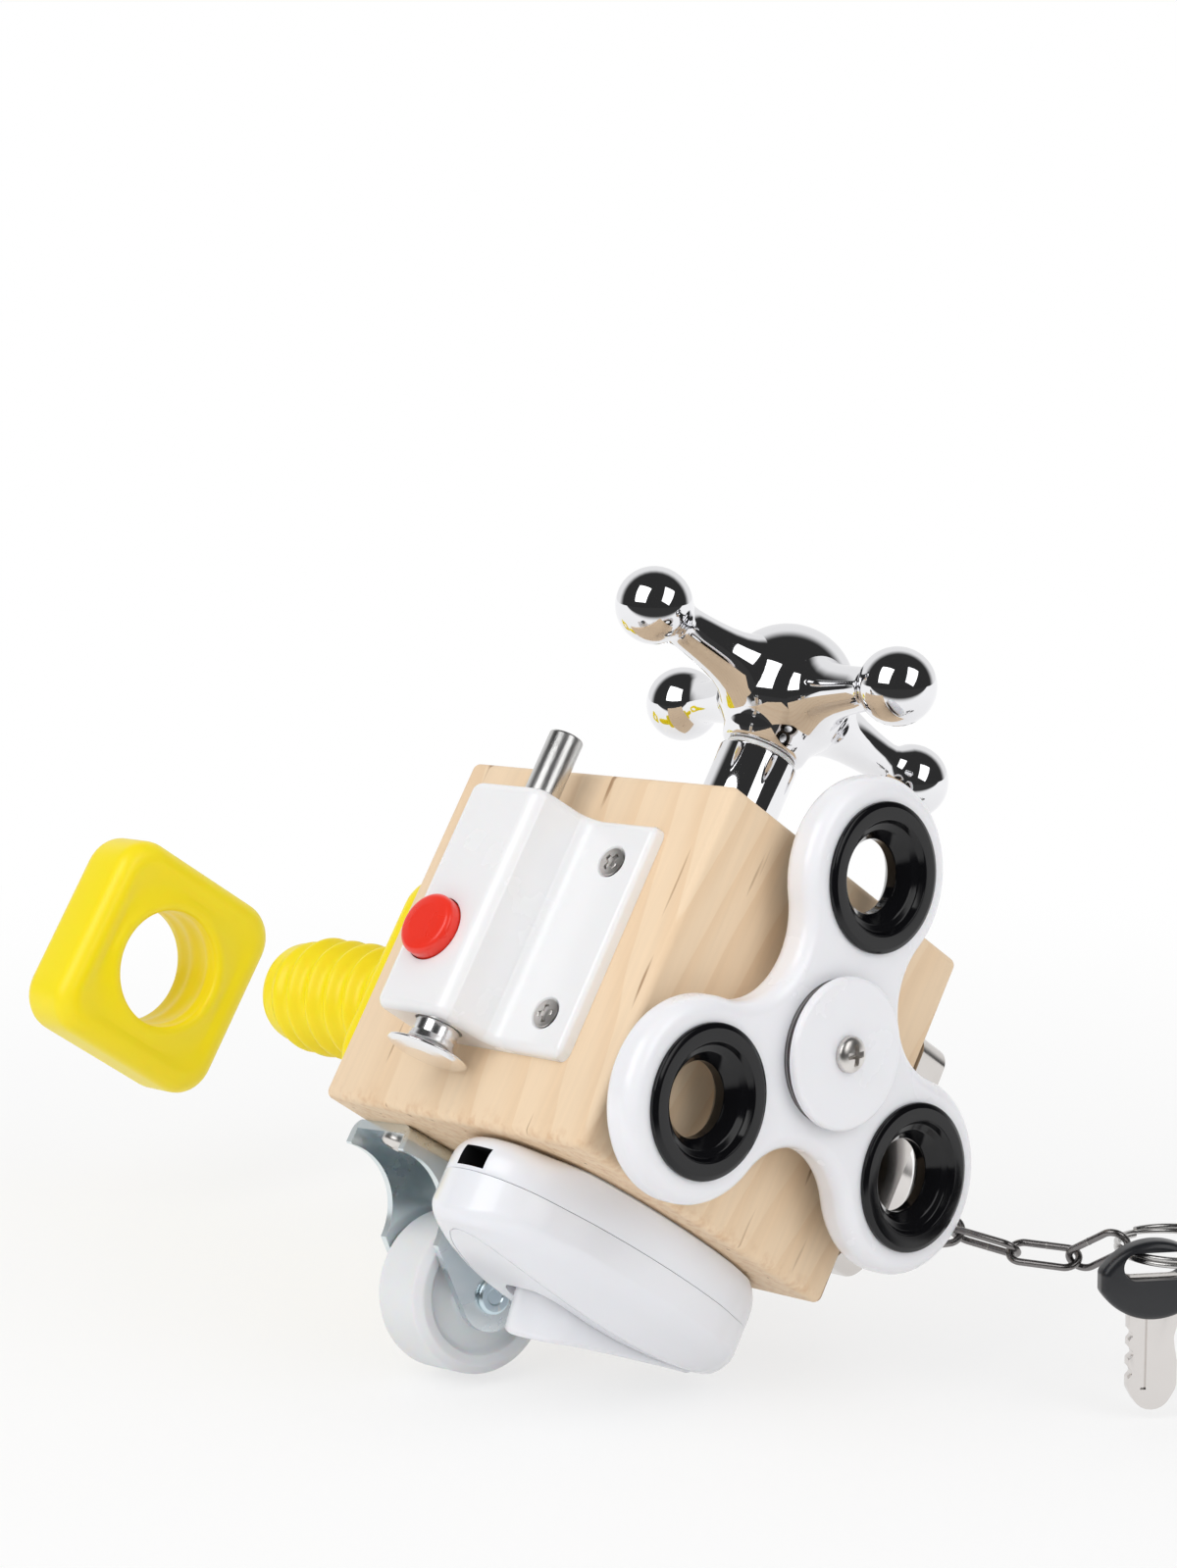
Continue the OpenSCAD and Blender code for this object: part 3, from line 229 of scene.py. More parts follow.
def mirrored(profile):
    """A profile followed by its own reflection below z = 0."""
    return profile + [(r, -z, *own) for r, z, *own in reversed(profile)]


def strip(faces, low, high):
    """Quads, or triangles at a pole, between two rows of point numbers."""
    n = max(len(low), len(high))
    for k in range(n):
        j = (k + 1) % n
        a, b = (low[0], low[0]) if len(low) == 1 else (low[k], low[j])
        d, c = (high[0], high[0]) if len(high) == 1 else (high[k], high[j])
        face = [a, b, c, d]
        faces.append([v for i, v in enumerate(face) if v not in face[:i]])


def skin(rings, loop=False):
    """Points, faces and rows of a surface over rings, open unless its end meets its start."""
    points, rows, faces = [], [], []
    for ring in rings:
        rows.append(list(range(len(points), len(points) + len(ring))))
        points.extend(tuple(p) for p in ring)
    for low, high in zip(rows, rows[1:] + rows[:1] if loop else rows[1:]):
        strip(faces, low, high)
    return points, faces, rows


def lathe(profile, segments=96, closed=False):
    """Turned shape about z, from (radius, height) points."""
    way = circle(segments)
    return skin([[(0, 0, z)] if radius < 1e-6 else [(radius * c, radius * s, z) for c, s in way]
                 for radius, z in profile], closed)[:2]


def turned_ring(profile, steps=4, segments=96):
    """Turned shape with a hole, from corners with their radii."""
    return lathe(soften(profile, steps=steps, closed=True), segments, closed=True)


def loft(rings, loop=False):
    """Skin over rings of equal count, with capped ends or joined end to start."""
    points, faces, rows = skin(rings, loop)
    if not loop:
        faces += [rows[0][::-1], rows[-1]]
    return points, faces


def inset(outline, amount):
    """Outline drawn in by an amount along its own normals."""
    out = []
    n = len(outline)
    for i in range(n):
        before, here, after = (Vector(outline[j % n]) for j in (i - 1, i, i + 1))
        along = ((here - before).normalized() + (after - here).normalized()).normalized()
        out.append((here.x - along.y * amount, here.y + along.x * amount))
    return out


def prism(outline, z0, z1, edge, steps=5):
    """Plate with an outline (counter-clockwise), its two rims rounded."""
    return loft([[(x, y, z) for x, y in inset(outline, d)] for d, z in rims(z0, z1, edge, steps)])


def tube(path, radius, sides=14, closed=True):
    """Round wire along a path of points."""
    pts = [Vector(p) for p in path]
    n = len(pts)
    rings = []
    side = None
    for i in range(n):
        ahead = pts[(i + 1) % n] if closed or i < n - 1 else pts[i]
        behind = pts[i - 1] if closed or i > 0 else pts[i]
        along = (ahead - behind).normalized()
        if side is None:
            side = along.orthogonal().normalized()
        side = (side - along * side.dot(along)).normalized()
        up = along.cross(side)
        rings.append([pts[i] + radius * (c * side + s * up) for c, s in circle(sides)])
    if not closed:
        return loft(rings)
    # the frame may have turned on its way round, so the last ring is matched to the first
    points, faces, rows = skin(rings)
    turn = min(range(sides), key=lambda s: (rings[-1][s] - rings[0][0]).length)
    strip(faces, [rows[-1][(turn + k) % sides] for k in range(sides)], rows[0])
    return points, faces


def helix(radius, wire, z0, z1, turns):
    steps = int(turns * 28)
    path = []
    for i in range(steps + 1):
        a = math.tau * turns * i / steps
        path.append((radius * math.cos(a), radius * math.sin(a), z0 + (z1 - z0) * i / steps))
    return tube(path, wire, 10, closed=False)


def moved(shape, place):
    return [tuple(place @ Vector(p)) for p in shape[0]], shape[1]


def joined(*shapes):
    points, faces = [], []
    for shape in shapes:
        start = len(points)
        points.extend(shape[0])
        faces.extend([[v + start for v in face] for face in shape[1]])
    return points, faces


def box(low, high):
    (x0, y0, z0), (x1, y1, z1) = low, high
    corners = [(x0, y0), (x1, y0), (x1, y1), (x0, y1)]
    return loft([[(x, y, z) for x, y in corners] for z in (z0, z1)])


def rod(radius, z0, z1, segments=64):
    return lathe([(0, z0), (radius, z0), (radius, z1), (0, z1)], segments)


def mesh_of(name, shape):
    mesh = bpy.data.meshes.new(name)
    mesh.from_pydata(shape[0], [], shape[1])
    work = bmesh.new()
    work.from_mesh(mesh)
    bmesh.ops.remove_doubles(work, verts=work.verts, dist=1e-4)
    bmesh.ops.dissolve_degenerate(work, edges=work.edges, dist=1e-5)
    bmesh.ops.recalc_face_normals(work, faces=work.faces)
    work.to_mesh(mesh)
    work.free()
    return mesh


def linked(name, data):
    o = bpy.data.objects.new(name, data)
    bpy.context.scene.collection.objects.link(o)
    return o


def carve(shape, *cutters):
    """A shape with cutters taken out of it, which stops the run if too little is left."""
    base = linked("carved", mesh_of("carved", shape))
    tools = [linked("cutter", mesh_of("cutter", cutter)) for cutter in cutters]
    for tool in tools:
        step = base.modifiers.new("cut", "BOOLEAN")
        step.operation, step.solver, step.object = "DIFFERENCE", "EXACT", tool
    bpy.context.view_layer.update()
    graph = bpy.context.evaluated_depsgraph_get()
    result = bpy.data.meshes.new_from_object(base.evaluated_get(graph))
    made = [tuple(v.co) for v in result.vertices], [list(p.vertices) for p in result.polygons]
    for o in [base, *tools]:
        bpy.data.objects.remove(o)

    def spans(points):
        return [max(p[i] for p in points) - min(p[i] for p in points) for i in range(3)]

    if not made[1] or any(a < b * LEAST_LEFT for a, b in zip(spans(made[0]), spans(shape[0]))):
        raise RuntimeError("a carved shape came out broken")
    return made


def soft_edges(o, width, segments, angle):
    """Rounds an object's sharp edges when it is shown."""
    step = o.modifiers.new("soft edges", "BEVEL")
    step.width, step.segments, step.limit_method = width * MM, segments, "ANGLE"
    step.angle_limit = math.radians(angle)
    step.harden_normals = True


def even_normals(o):
    o.modifiers.new("even normals", "WEIGHTED_NORMAL").keep_sharp = True


def piece(name, shape, material, place=WORLD, body="base", bevel=0.0, sharp=38):
    """Puts a shape in the scene in place of the CAD node with its name, on a body."""
    mesh = mesh_of(name, shape)
    mesh.transform(Matrix.Scale(MM, 4) @ place)
    if place.determinant() < 0:
        mesh.flip_normals()
    mesh.shade_smooth()
    mesh.set_sharp_from_angle(angle=math.radians(sharp))
    mesh.materials.append(material)
    o = linked(name, mesh)
    if bevel:
        soft_edges(o, bevel, 3, 40)
    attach(o, body)
    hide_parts(name)
    return o


# ---- shader groups and finishes
GREY = (0.8, 0.8, 0.8, 1)
WOOD = (0.8, 0.6, 0.4, 1)
WHITE = (1, 1, 1, 1)
SHADED = (("Colour", "Base Color"), ("Roughness", "Roughness"), ("Normal", "Normal"))


class Net:
    """A node tree, with short ways to add nodes and feed their inputs."""

    def __init__(self, tree):
        self.tree = tree

    def feed(self, target, value):
        """Links a socket to an input, or gives the input a value."""
        if isinstance(value, bpy.types.NodeSocket):
            self.tree.links.new(value, target)
        elif value is not None:
            target.default_value = value

    def add(self, kind, inputs=(), **settings):
        """A node with its settings, and inputs given by name or number."""
        made = self.tree.nodes.new("ShaderNode" + kind)
        for key, value in settings.items():
            setattr(made, key, value)
        for key, value in dict(inputs).items():
            self.feed(made.inputs[key], value)
        return made

    def calc(self, operation, a, b=None, clamp=False):
        return self.add("Math", {0: a, 1: b}, operation=operation, use_clamp=clamp).outputs[0]

    def vector(self, operation, a, b=None, out=0):
        return self.add("VectorMath", {0: a, 1: b}, operation=operation).outputs[out]

    def scaled(self, value, factor):
        return self.add("VectorMath", {0: value, "Scale": factor}, operation="SCALE").outputs[0]

    def mix(self, factor, a, b):
        return self.add("Mix", {0: factor, 6: a, 7: b}, data_type="RGBA").outputs[2]

    def blend(self, factor, a, b):
        return self.add("MixShader", {0: factor, 1: a, 2: b}).outputs[0]

    def ramp(self, value, low, high, to_low=0.0, to_high=1.0, kind="LINEAR"):
        """A value moved from one range to another and kept inside it."""
        values = {"Value": value, "From Min": low, "From Max": high, "To Min": to_low,
                  "To Max": to_high}
        return self.add("MapRange", values, interpolation_type=kind).outputs[0]


def new_group(name, inputs):
    """A shader group that gives a colour, a roughness and a normal."""
    tree = bpy.data.node_groups.new(name, "ShaderNodeTree")
    for key, value in inputs.items():
        kind = "Float" if isinstance(value, float) else "Color" if len(value) == 4 else "Vector"
        made = tree.interface.new_socket(name=key, in_out="INPUT", socket_type="NodeSocket" + kind)
        made.default_value = value
    for (key, _), kind in zip(SHADED, ("Color", "Float", "Vector")):
        tree.interface.new_socket(name=key, in_out="OUTPUT", socket_type="NodeSocket" + kind)
    given = tree.nodes.new("NodeGroupInput").outputs
    return Net(tree), given, tree.nodes.new("NodeGroupOutput").inputs


def surface_group():
    """Mottled colour and gloss with a fine bump, shared by plastics and metals."""
    name = "Moulded or milled surface"
    if name in bpy.data.node_groups:
        return bpy.data.node_groups[name]
    net, given, out = new_group(name, {
        "Colour": GREY, "Worn Colour": GREY, "Wear": 0.0, "Spread": 0.04, "Scale": 300.0,
        "Stretch": (1.0, 1.0, 1.0), "Roughness": 0.3, "Roughness Spread": 0.1, "Bump": 0.1})
    place = net.vector("MULTIPLY", net.add("TexCoord").outputs["Object"], given["Stretch"])
    broad, fine = [
        net.add("TexNoise", {"Vector": place, "Detail": detail,
                             "Scale": net.calc("MULTIPLY", given["Scale"], factor)}).outputs[0]
        for factor, detail in ((1.0, 4.0), (7.0, 2.0))]
    swing = net.calc("MULTIPLY", net.calc("SUBTRACT", broad, 0.5), 2.0)
    light = net.calc("ADD", net.calc("MULTIPLY", swing, given["Spread"]), 1.0)
    edge = net.ramp(net.add("NewGeometry").outputs["Pointiness"], 0.52, 0.62)
    worn = net.calc("MULTIPLY", net.calc("MULTIPLY", edge, given["Wear"]), broad, clamp=True)
    net.feed(out["Colour"], net.mix(worn, net.scaled(given["Colour"], light),
                                    given["Worn Colour"]))
    rough = net.calc("MULTIPLY", swing, given["Roughness Spread"])
    net.feed(out["Roughness"], net.calc("ADD", rough, given["Roughness"], clamp=True))
    bump = net.add("Bump", {"Distance": 0.00008, "Height": fine, "Strength": given["Bump"]})
    net.feed(out["Normal"], bump.outputs[0])
    return net.tree


def pine_group():
    """Rings, fine fibres, pores and a rough sawn rim, for the wood block."""
    net, given, out = new_group("Pine grain", {
        "Early Wood": WOOD, "Late Wood": WOOD, "Sawn Edge": WOOD, "Pore": WOOD,
        "Ring Width": 0.0042})
    calc, ramp = net.calc, net.ramp
    coords = net.add("TexCoord").outputs["Object"]

    def noise(scale, detail, stretch):
        spread = net.vector("MULTIPLY", coords, stretch)
        return net.add("TexNoise", {"Scale": scale, "Detail": detail,
                                    "Vector": spread}).outputs[0]

    x, y, z = net.add("SeparateXYZ", {0: coords}).outputs
    # rings lie round an axis beside the block, leaning a little along its height
    dx = calc("ADD", calc("ADD", x, 0.055), calc("MULTIPLY", z, 0.16))
    dy = calc("ADD", y, -0.085)
    far = calc("SQRT", calc("ADD", calc("MULTIPLY", dx, dx), calc("MULTIPLY", dy, dy)))
    wander = calc("MULTIPLY", calc("SUBTRACT", noise(34, 3, (1, 1, 0.3)), 0.5), 0.007)
    wave = calc("FRACT", calc("DIVIDE", calc("ADD", far, wander), given["Ring Width"]))
    late = ramp(wave, 0.35, 0.98, to_high=0.6, kind="SMOOTHSTEP")
    ringed = calc("MULTIPLY", late, ramp(wave, 1.0, 0.97))
    fibre = noise(900, 3, (1, 1, 0.03))
    amount = calc("MULTIPLY", ringed, calc("ADD", noise(30, 2, (1, 1, 0.4)), 0.25))
    colour = net.mix(amount, given["Early Wood"], given["Late Wood"])
    shaded = net.scaled(colour, ramp(fibre, 0.3, 0.75, 0.97, 1.025))
    pores = ramp(noise(520, 1, (1, 1, 0.09)), 0.715, 0.78, to_high=0.75)
    # the rim of the underside was left rough from the saw
    rim = ramp(z, 0.0042, 0.0004, to_high=0.5)
    broken = ramp(noise(750, 6, (1, 1, 0.8)), 0.47, 0.66)
    sawn = calc("MULTIPLY", calc("POWER", rim, 1.6), broken, clamp=True)
    net.feed(out["Colour"], net.mix(sawn, net.mix(pores, shaded, given["Pore"]),
                                    given["Sawn Edge"]))
    net.feed(out["Roughness"], calc("ADD", calc("MULTIPLY", fibre, 0.2), 0.42))
    height = calc("SUBTRACT", calc("MULTIPLY", fibre, 0.5),
                  calc("ADD", pores, calc("MULTIPLY", sawn, 0.8)))
    bump = net.add("Bump", {"Distance": 0.0002, "Strength": 0.28, "Height": height})
    net.feed(out["Normal"], bump.outputs[0])
    return net.tree


def grouped(name, group, values, shading, joins=SHADED):
    """A material whose looks come from a shader group."""
    made = bpy.data.materials.new(name)
    made.use_nodes = True
    net = Net(made.node_tree)
    looks = net.add("Group", node_tree=group)
    shader = net.tree.nodes["Principled BSDF"]
    for target, given in ((looks, values), (shader, shading)):
        for key, value in given.items():
            target.inputs[key].default_value = value
    for key, target in joins:
        net.feed(shader.inputs[target], looks.outputs[key])
    return made


def finish(name, colour, metallic=0.0, roughness=0.3, spread=0.03, mottle=0.06, scale=300.0,
           stretch=(1.0, 1.0, 1.0), bump=0.06, wear=0.0, worn=None, coat=0.0, soft=0.0,
           specular=0.5):
    """A material on the shared surface group, made once."""
    found = bpy.data.materials.get(name)
    if found:
        return found
    colour = (*colour, 1.0)
    made = grouped(name, surface_group(), {
        "Colour": colour, "Worn Colour": (*worn, 1.0) if worn else colour, "Wear": wear,
        "Spread": spread, "Scale": scale, "Stretch": stretch, "Roughness": roughness,
        "Roughness Spread": mottle, "Bump": bump,
    }, {
        "Metallic": metallic, "Coat Weight": coat, "Coat Roughness": 0.06,
        "Specular IOR Level": specular, "Subsurface Weight": soft, "Subsurface Scale": 0.002,
    })
    made.diffuse_color = colour
    return made


def pine(s):
    return grouped("pine", pine_group(), {
        "Early Wood": (*s.pale, 1.0), "Late Wood": (*s.warm, 1.0),
        "Sawn Edge": (*s.sawn, 1.0), "Pore": (*s.pore, 1.0)}, {"Specular IOR Level": 0.35})


# each metal has a colour, or the settings and the name of one, and its looks
METALS = {
    "chrome plate": (("busy_tap", "chrome"), dict(
        roughness=0.035, spread=0.01, mottle=0.015, scale=120, bump=0.0)),
    "nickelled screws": ((0.80, 0.77, 0.74), dict(
        roughness=0.33, mottle=0.1, spread=0.06, scale=700, bump=0.12, wear=0.8,
        worn=(0.32, 0.30, 0.28))),
    "turned steel": ((0.56, 0.55, 0.54), dict(
        roughness=0.24, mottle=0.1, spread=0.05, scale=240, stretch=(9.0, 1.0, 1.0), bump=0.1)),
    "nickel plate": (("busy_lock", "nickel"), dict(
        roughness=0.17, mottle=0.07, spread=0.05, scale=180, bump=0.05, wear=0.6,
        worn=(0.52, 0.49, 0.45))),
    "contact brass": ((0.78, 0.56, 0.22), dict(
        roughness=0.26, mottle=0.1, spread=0.06, scale=300, bump=0.06, wear=0.6,
        worn=(0.45, 0.30, 0.10))),
    "blue zinc": (("busy_caster", "bracket"), dict(
        roughness=0.26, mottle=0.12, spread=0.12, scale=160, bump=0.08, wear=1.2,
        worn=(0.85, 0.88, 0.88))),
    "streaky zinc": (("busy_latch", "pin"), dict(
        roughness=0.3, mottle=0.18, spread=0.22, scale=420, stretch=(1.0, 1.0, 0.25),
        bump=0.25, wear=0.8, worn=(0.86, 0.86, 0.84))),
    "satin chrome": ((0.90, 0.90, 0.91), dict(
        roughness=0.2, spread=0.02, mottle=0.05, scale=200, bump=0.02)),
    "black oxide steel": ((0.05, 0.05, 0.055), dict(roughness=0.3)),
    "dark chain steel": (("busy_chain", "dark"), dict(
        roughness=0.26, mottle=0.1, spread=0.18, scale=600, bump=0.15, wear=1.0,
        worn=(0.55, 0.53, 0.50))),
}


def metal(name):
    colour, looks = METALS[name]
    if isinstance(colour[0], str):
        colour = getattr(getattr(bpy.context.scene, colour[0]), colour[1])
    return finish(name, tuple(colour), metallic=1.0, **looks)


def white_plastic(name, colour):
    return finish(name, tuple(colour), roughness=0.26, mottle=0.05, spread=0.012, scale=90,
                  bump=0.04, coat=0.25, soft=0.06)


# ---- screws
def cross_cutter(radius, depth, turn):
    """Tapered cross that opens a screw's head."""
    wide, thin = radius * 0.68, radius * 0.19
    rings = [[(-wide * k, -thin * k, z), (wide * k, -thin * k, z), (wide * k, thin * k, z),
              (-wide * k, thin * k, z)] for z, k in ((-depth, 0.55), (0.4, 1.05))]
    return [moved(loft(rings), turned("Z", a + turn)) for a in (0, 90)]


def pan_screw(radius, height, shank_radius, length, turn=20):
    """Domed cross-head screw, head's underside at z = 0."""
    top = [(radius * math.cos(a), height * (0.3 + 0.7 * math.sin(a)))
           for a in [math.pi / 2 * k / 8 for k in range(8)]]
    head = lathe([(0, 0), (radius, 0), *top, (0, height)], 48)
    arms = [moved(arm, at(0, 0, height)) for arm in cross_cutter(radius, height * 0.75, turn)]
    return joined(carve(head, *arms), shank(shank_radius, length))


def flush_screw(radius, shank_radius, length, turn=20):
    """Countersunk cross-head screw, its face at z = 0."""
    head = lathe([(0, shank_radius - radius), (shank_radius, shank_radius - radius),
                  (radius - 0.08, -0.12), (radius - 0.16, -0.02), (radius * 0.6, 0.04),
                  (0, 0.06)], 48)
    return joined(carve(head, *cross_cutter(radius, 1.0, turn)), shank(shank_radius, length))


def shank(radius, length):
    """Threaded shank with a pointed end, below z = 0."""
    profile = [(0, -length)]
    z = -length + 2 * radius
    while z < -0.2:
        profile += [(radius * 0.8, z), (radius, z + 0.45)]
        z += 0.9
    return lathe([*profile, (radius * 0.8, -0.05), (0, 0)], 24)


def screws_piece(name, *screws):
    piece(name, joined(*screws), metal("nickelled screws"))


class BUSY_OT_block(bpy.types.Operator):
    """Builds the pine block"""

    bl_idname = "busy.block"
    bl_label = "Pine block"

    def execute(self, context):
        s = context.scene.busy_block
        half, ease = s.side / MM / 2, s.ease / MM
        outline = soften([(-half, -half), (half, -half), (half, half), (-half, half)], ease,
                         closed=True)
        piece("block", prism(outline, 0, 2 * half, ease), pine(s))
        return {"FINISHED"}


# ---- tap
HANDLE_TURN, GRUB_TURN, GRUB_HEIGHT = -11, -15, 22.2


class BUSY_OT_tap(bpy.types.Operator):
    """Builds the chrome tap with its four-ball handle"""

    bl_idname = "busy.tap"
    bl_label = "Tap"

    def execute(self, context):
        s = context.scene.busy_tap
        plate = metal("chrome plate")
        neck = [(3.06, -16), (5, -16, 0.3), (5, 0), (6.7, 0), (6.7, 19, 0.5), (3.06, 19)]
        piece("tap_neck", turned_ring(neck), plate, TOP)
        hub, ball, reach = s.hub / MM, s.ball / MM, s.reach / MM
        middle, base, crown_lift = 30.7, 20.0, 0.5
        start = math.asin((base + 5.2 - middle - crown_lift) / hub)
        profile = [(3.2, base + 0.02), (6.4, base + 0.02), (7.0, base + 0.5), (7.5, base + 2.4),
                   (8.6, base + 4.0)]
        for k in range(18):
            a = start + (math.pi / 2 - start) * k / 18
            profile.append((hub * math.cos(a), middle + crown_lift + hub * math.sin(a)))
        profile.append((0, middle + crown_lift + hub))
        arm = [(0, 4), (7.9, 6.6), (7.6, 7.6), (6.9, 8.6), (6.0, 9.8), (5.25, 11.2), (4.65, 13.0),
               (4.2, 15.2), (3.85, 17.8), (3.6, 20.4), (3.5, 22.4), (3.65, 23.6)]
        blend_from = math.pi - math.asin(4.3 / ball)
        for k in range(16):
            a = blend_from * (1 - k / 16)
            arm.append((ball * math.sin(a), reach + ball * math.cos(a)))
        arm.append((0, reach + ball))
        arms = [moved(lathe(arm, 72), turned("Z", 90 * k) @ at(0, 0, middle) @ turned("Y", 90))
                for k in range(4)]
        piece("tap_handle", joined(lathe(profile), *arms), plate,
              TOP @ turned("Z", HANDLE_TURN), "tap", sharp=50)
        piece("tap_grub_screw", carve(rod(1.3, 3.17, 7.15, 40), rod(0.7, 5.9, 8, 6)),
              metal("black oxide steel"),
              TOP @ turned("Z", GRUB_TURN) @ at(0, 0, GRUB_HEIGHT) @ turned("Y", 90), "tap")
        return {"FINISHED"}


# ---- spinner
LOBE_TURN, LOBE_REACH, LOBE_R, WAIST_R = 100.7, 27.6, 15.5, 15.6
# the plate's middle, and its bores for the bearing and for the weights
PLATE_AT, BEARING_BORE, WEIGHT_BORE = 7.0, 11.02, 11.15


def lobed_outline(drawn_in):
    """Three round lobes joined by tangent hollows, drawn in all round."""
    hollow = ((WAIST_R - LOBE_REACH / 2) ** 2 + 0.75 * LOBE_REACH ** 2 - LOBE_R ** 2) / (
        2 * (LOBE_R - WAIST_R + LOBE_REACH / 2))
    out = []
    for i in range(3):
        a = LOBE_TURN + 120 * i
        lobe = Vector((math.cos(math.radians(a)), math.sin(math.radians(a)))) * LOBE_REACH
        b = math.radians(a + 60)
        pit = Vector((math.cos(b), math.sin(b))) * (WAIST_R + hollow)
        away = pit - lobe
        spread = math.degrees(math.atan2(away.y, away.x)) - a
        spread = (spread + 180) % 360 - 180
        out += arc(lobe.x, lobe.y, LOBE_R - drawn_in, a - spread, a + spread, 44)
        back = lobe - pit
        mid = a + 240
        swing = (math.degrees(math.atan2(back.y, back.x)) - mid + 180) % 360 - 180
        out += arc(pit.x, pit.y, hollow + drawn_in, mid + swing, mid - swing, 30)[1:-1]
    return out


class BUSY_OT_spinner(bpy.types.Operator):
    """Builds the three-lobed spinner with its weights, caps and screw"""

    bl_idname = "busy.spinner"
    bl_label = "Spinner"

    def execute(self, context):
        s = context.scene.busy_spinner
        hub = RIGHT @ at(1, 31.5, 0)
        half = s.thick / MM / 2
        lobes = [turned("Z", LOBE_TURN + 120 * i) @ at(LOBE_REACH, 0, 0) for i in range(3)]
        body = carve(loft([[(x, y, z) for x, y in lobed_outline(d)] for d, z in
                           rims(PLATE_AT - half, PLATE_AT + half, s.round_edge / MM, 8)]),
                     rod(BEARING_BORE, 0, 14, 96),
                     *[moved(rod(WEIGHT_BORE, 0, 14, 96), p) for p in lobes])
        plastic = white_plastic("spinner plastic", s.plate)
        even_normals(piece("spinner_body", body, plastic, hub, "spinner",
                           bevel=0.25))
        black = finish("black gloss", s.weights, roughness=0.12, mottle=0.03, spread=0.1,
                       scale=150, bump=0.02, specular=0.38)
        weight = turned_ring(mirrored([
            (5.75, 0.9, 0.5), (7.3, 2.75, 0.8), (8.35, 3.2, 0.5), (8.9, 4.25, 0.3),
            (10.9, 4.25, 0.4), (11.7, 3.95, 0.35), (11.7, 3.25, 0.1), (11.1, 3.22)]))
        for i, lobe in enumerate(lobes):
            piece("spinner_weight_%d" % (i + 1), weight, black,
                  hub @ lobe @ at(0, 0, PLATE_AT), "spinner")
        piece("spinner_cap_front", turned_ring([
            (1.62, 10.5), (5.4, 10.5, 0.1), (5.4, 11.65), (11.7, 11.65, 0.2), (11.7, 13.0, 0.65),
            (10.2, 12.98, 0.5), (7.0, 12.86, 0.5), (3.2, 12.84, 0.3), (1.62, 12.84, 0.2)], 5),
              plastic, hub)
        piece("spinner_cap_back", turned_ring([
            (1.62, 0.0), (11.7, 0.0, 0.5), (11.7, 3.1, 0.4), (5.4, 3.1), (5.4, 3.5, 0.1),
            (3.95, 3.5), (3.95, 6.7, 0.2), (1.62, 6.7)]), plastic, hub)
        piece("spinner_screw", pan_screw(2.8, 1.75, 1.5, 28.8, 32), metal("nickelled screws"),
              hub @ at(0, 0, 12.92))
        return {"FINISHED"}


# ---- latch
CASE_FOOT, CASE_TOP = 12.2, 51.2
BUTTON = FRONT @ at(-6.1, 25.6, 0)
BUTTON_SPRING = FRONT @ at(-8.7, 22.2, 0)
PIN = at(-2.3, -37, 0)
LATCH_SCREWS = [(FRONT @ at(13.7, z, 0), turn) for z, turn in ((18.6, 12), (44.2, 55))]


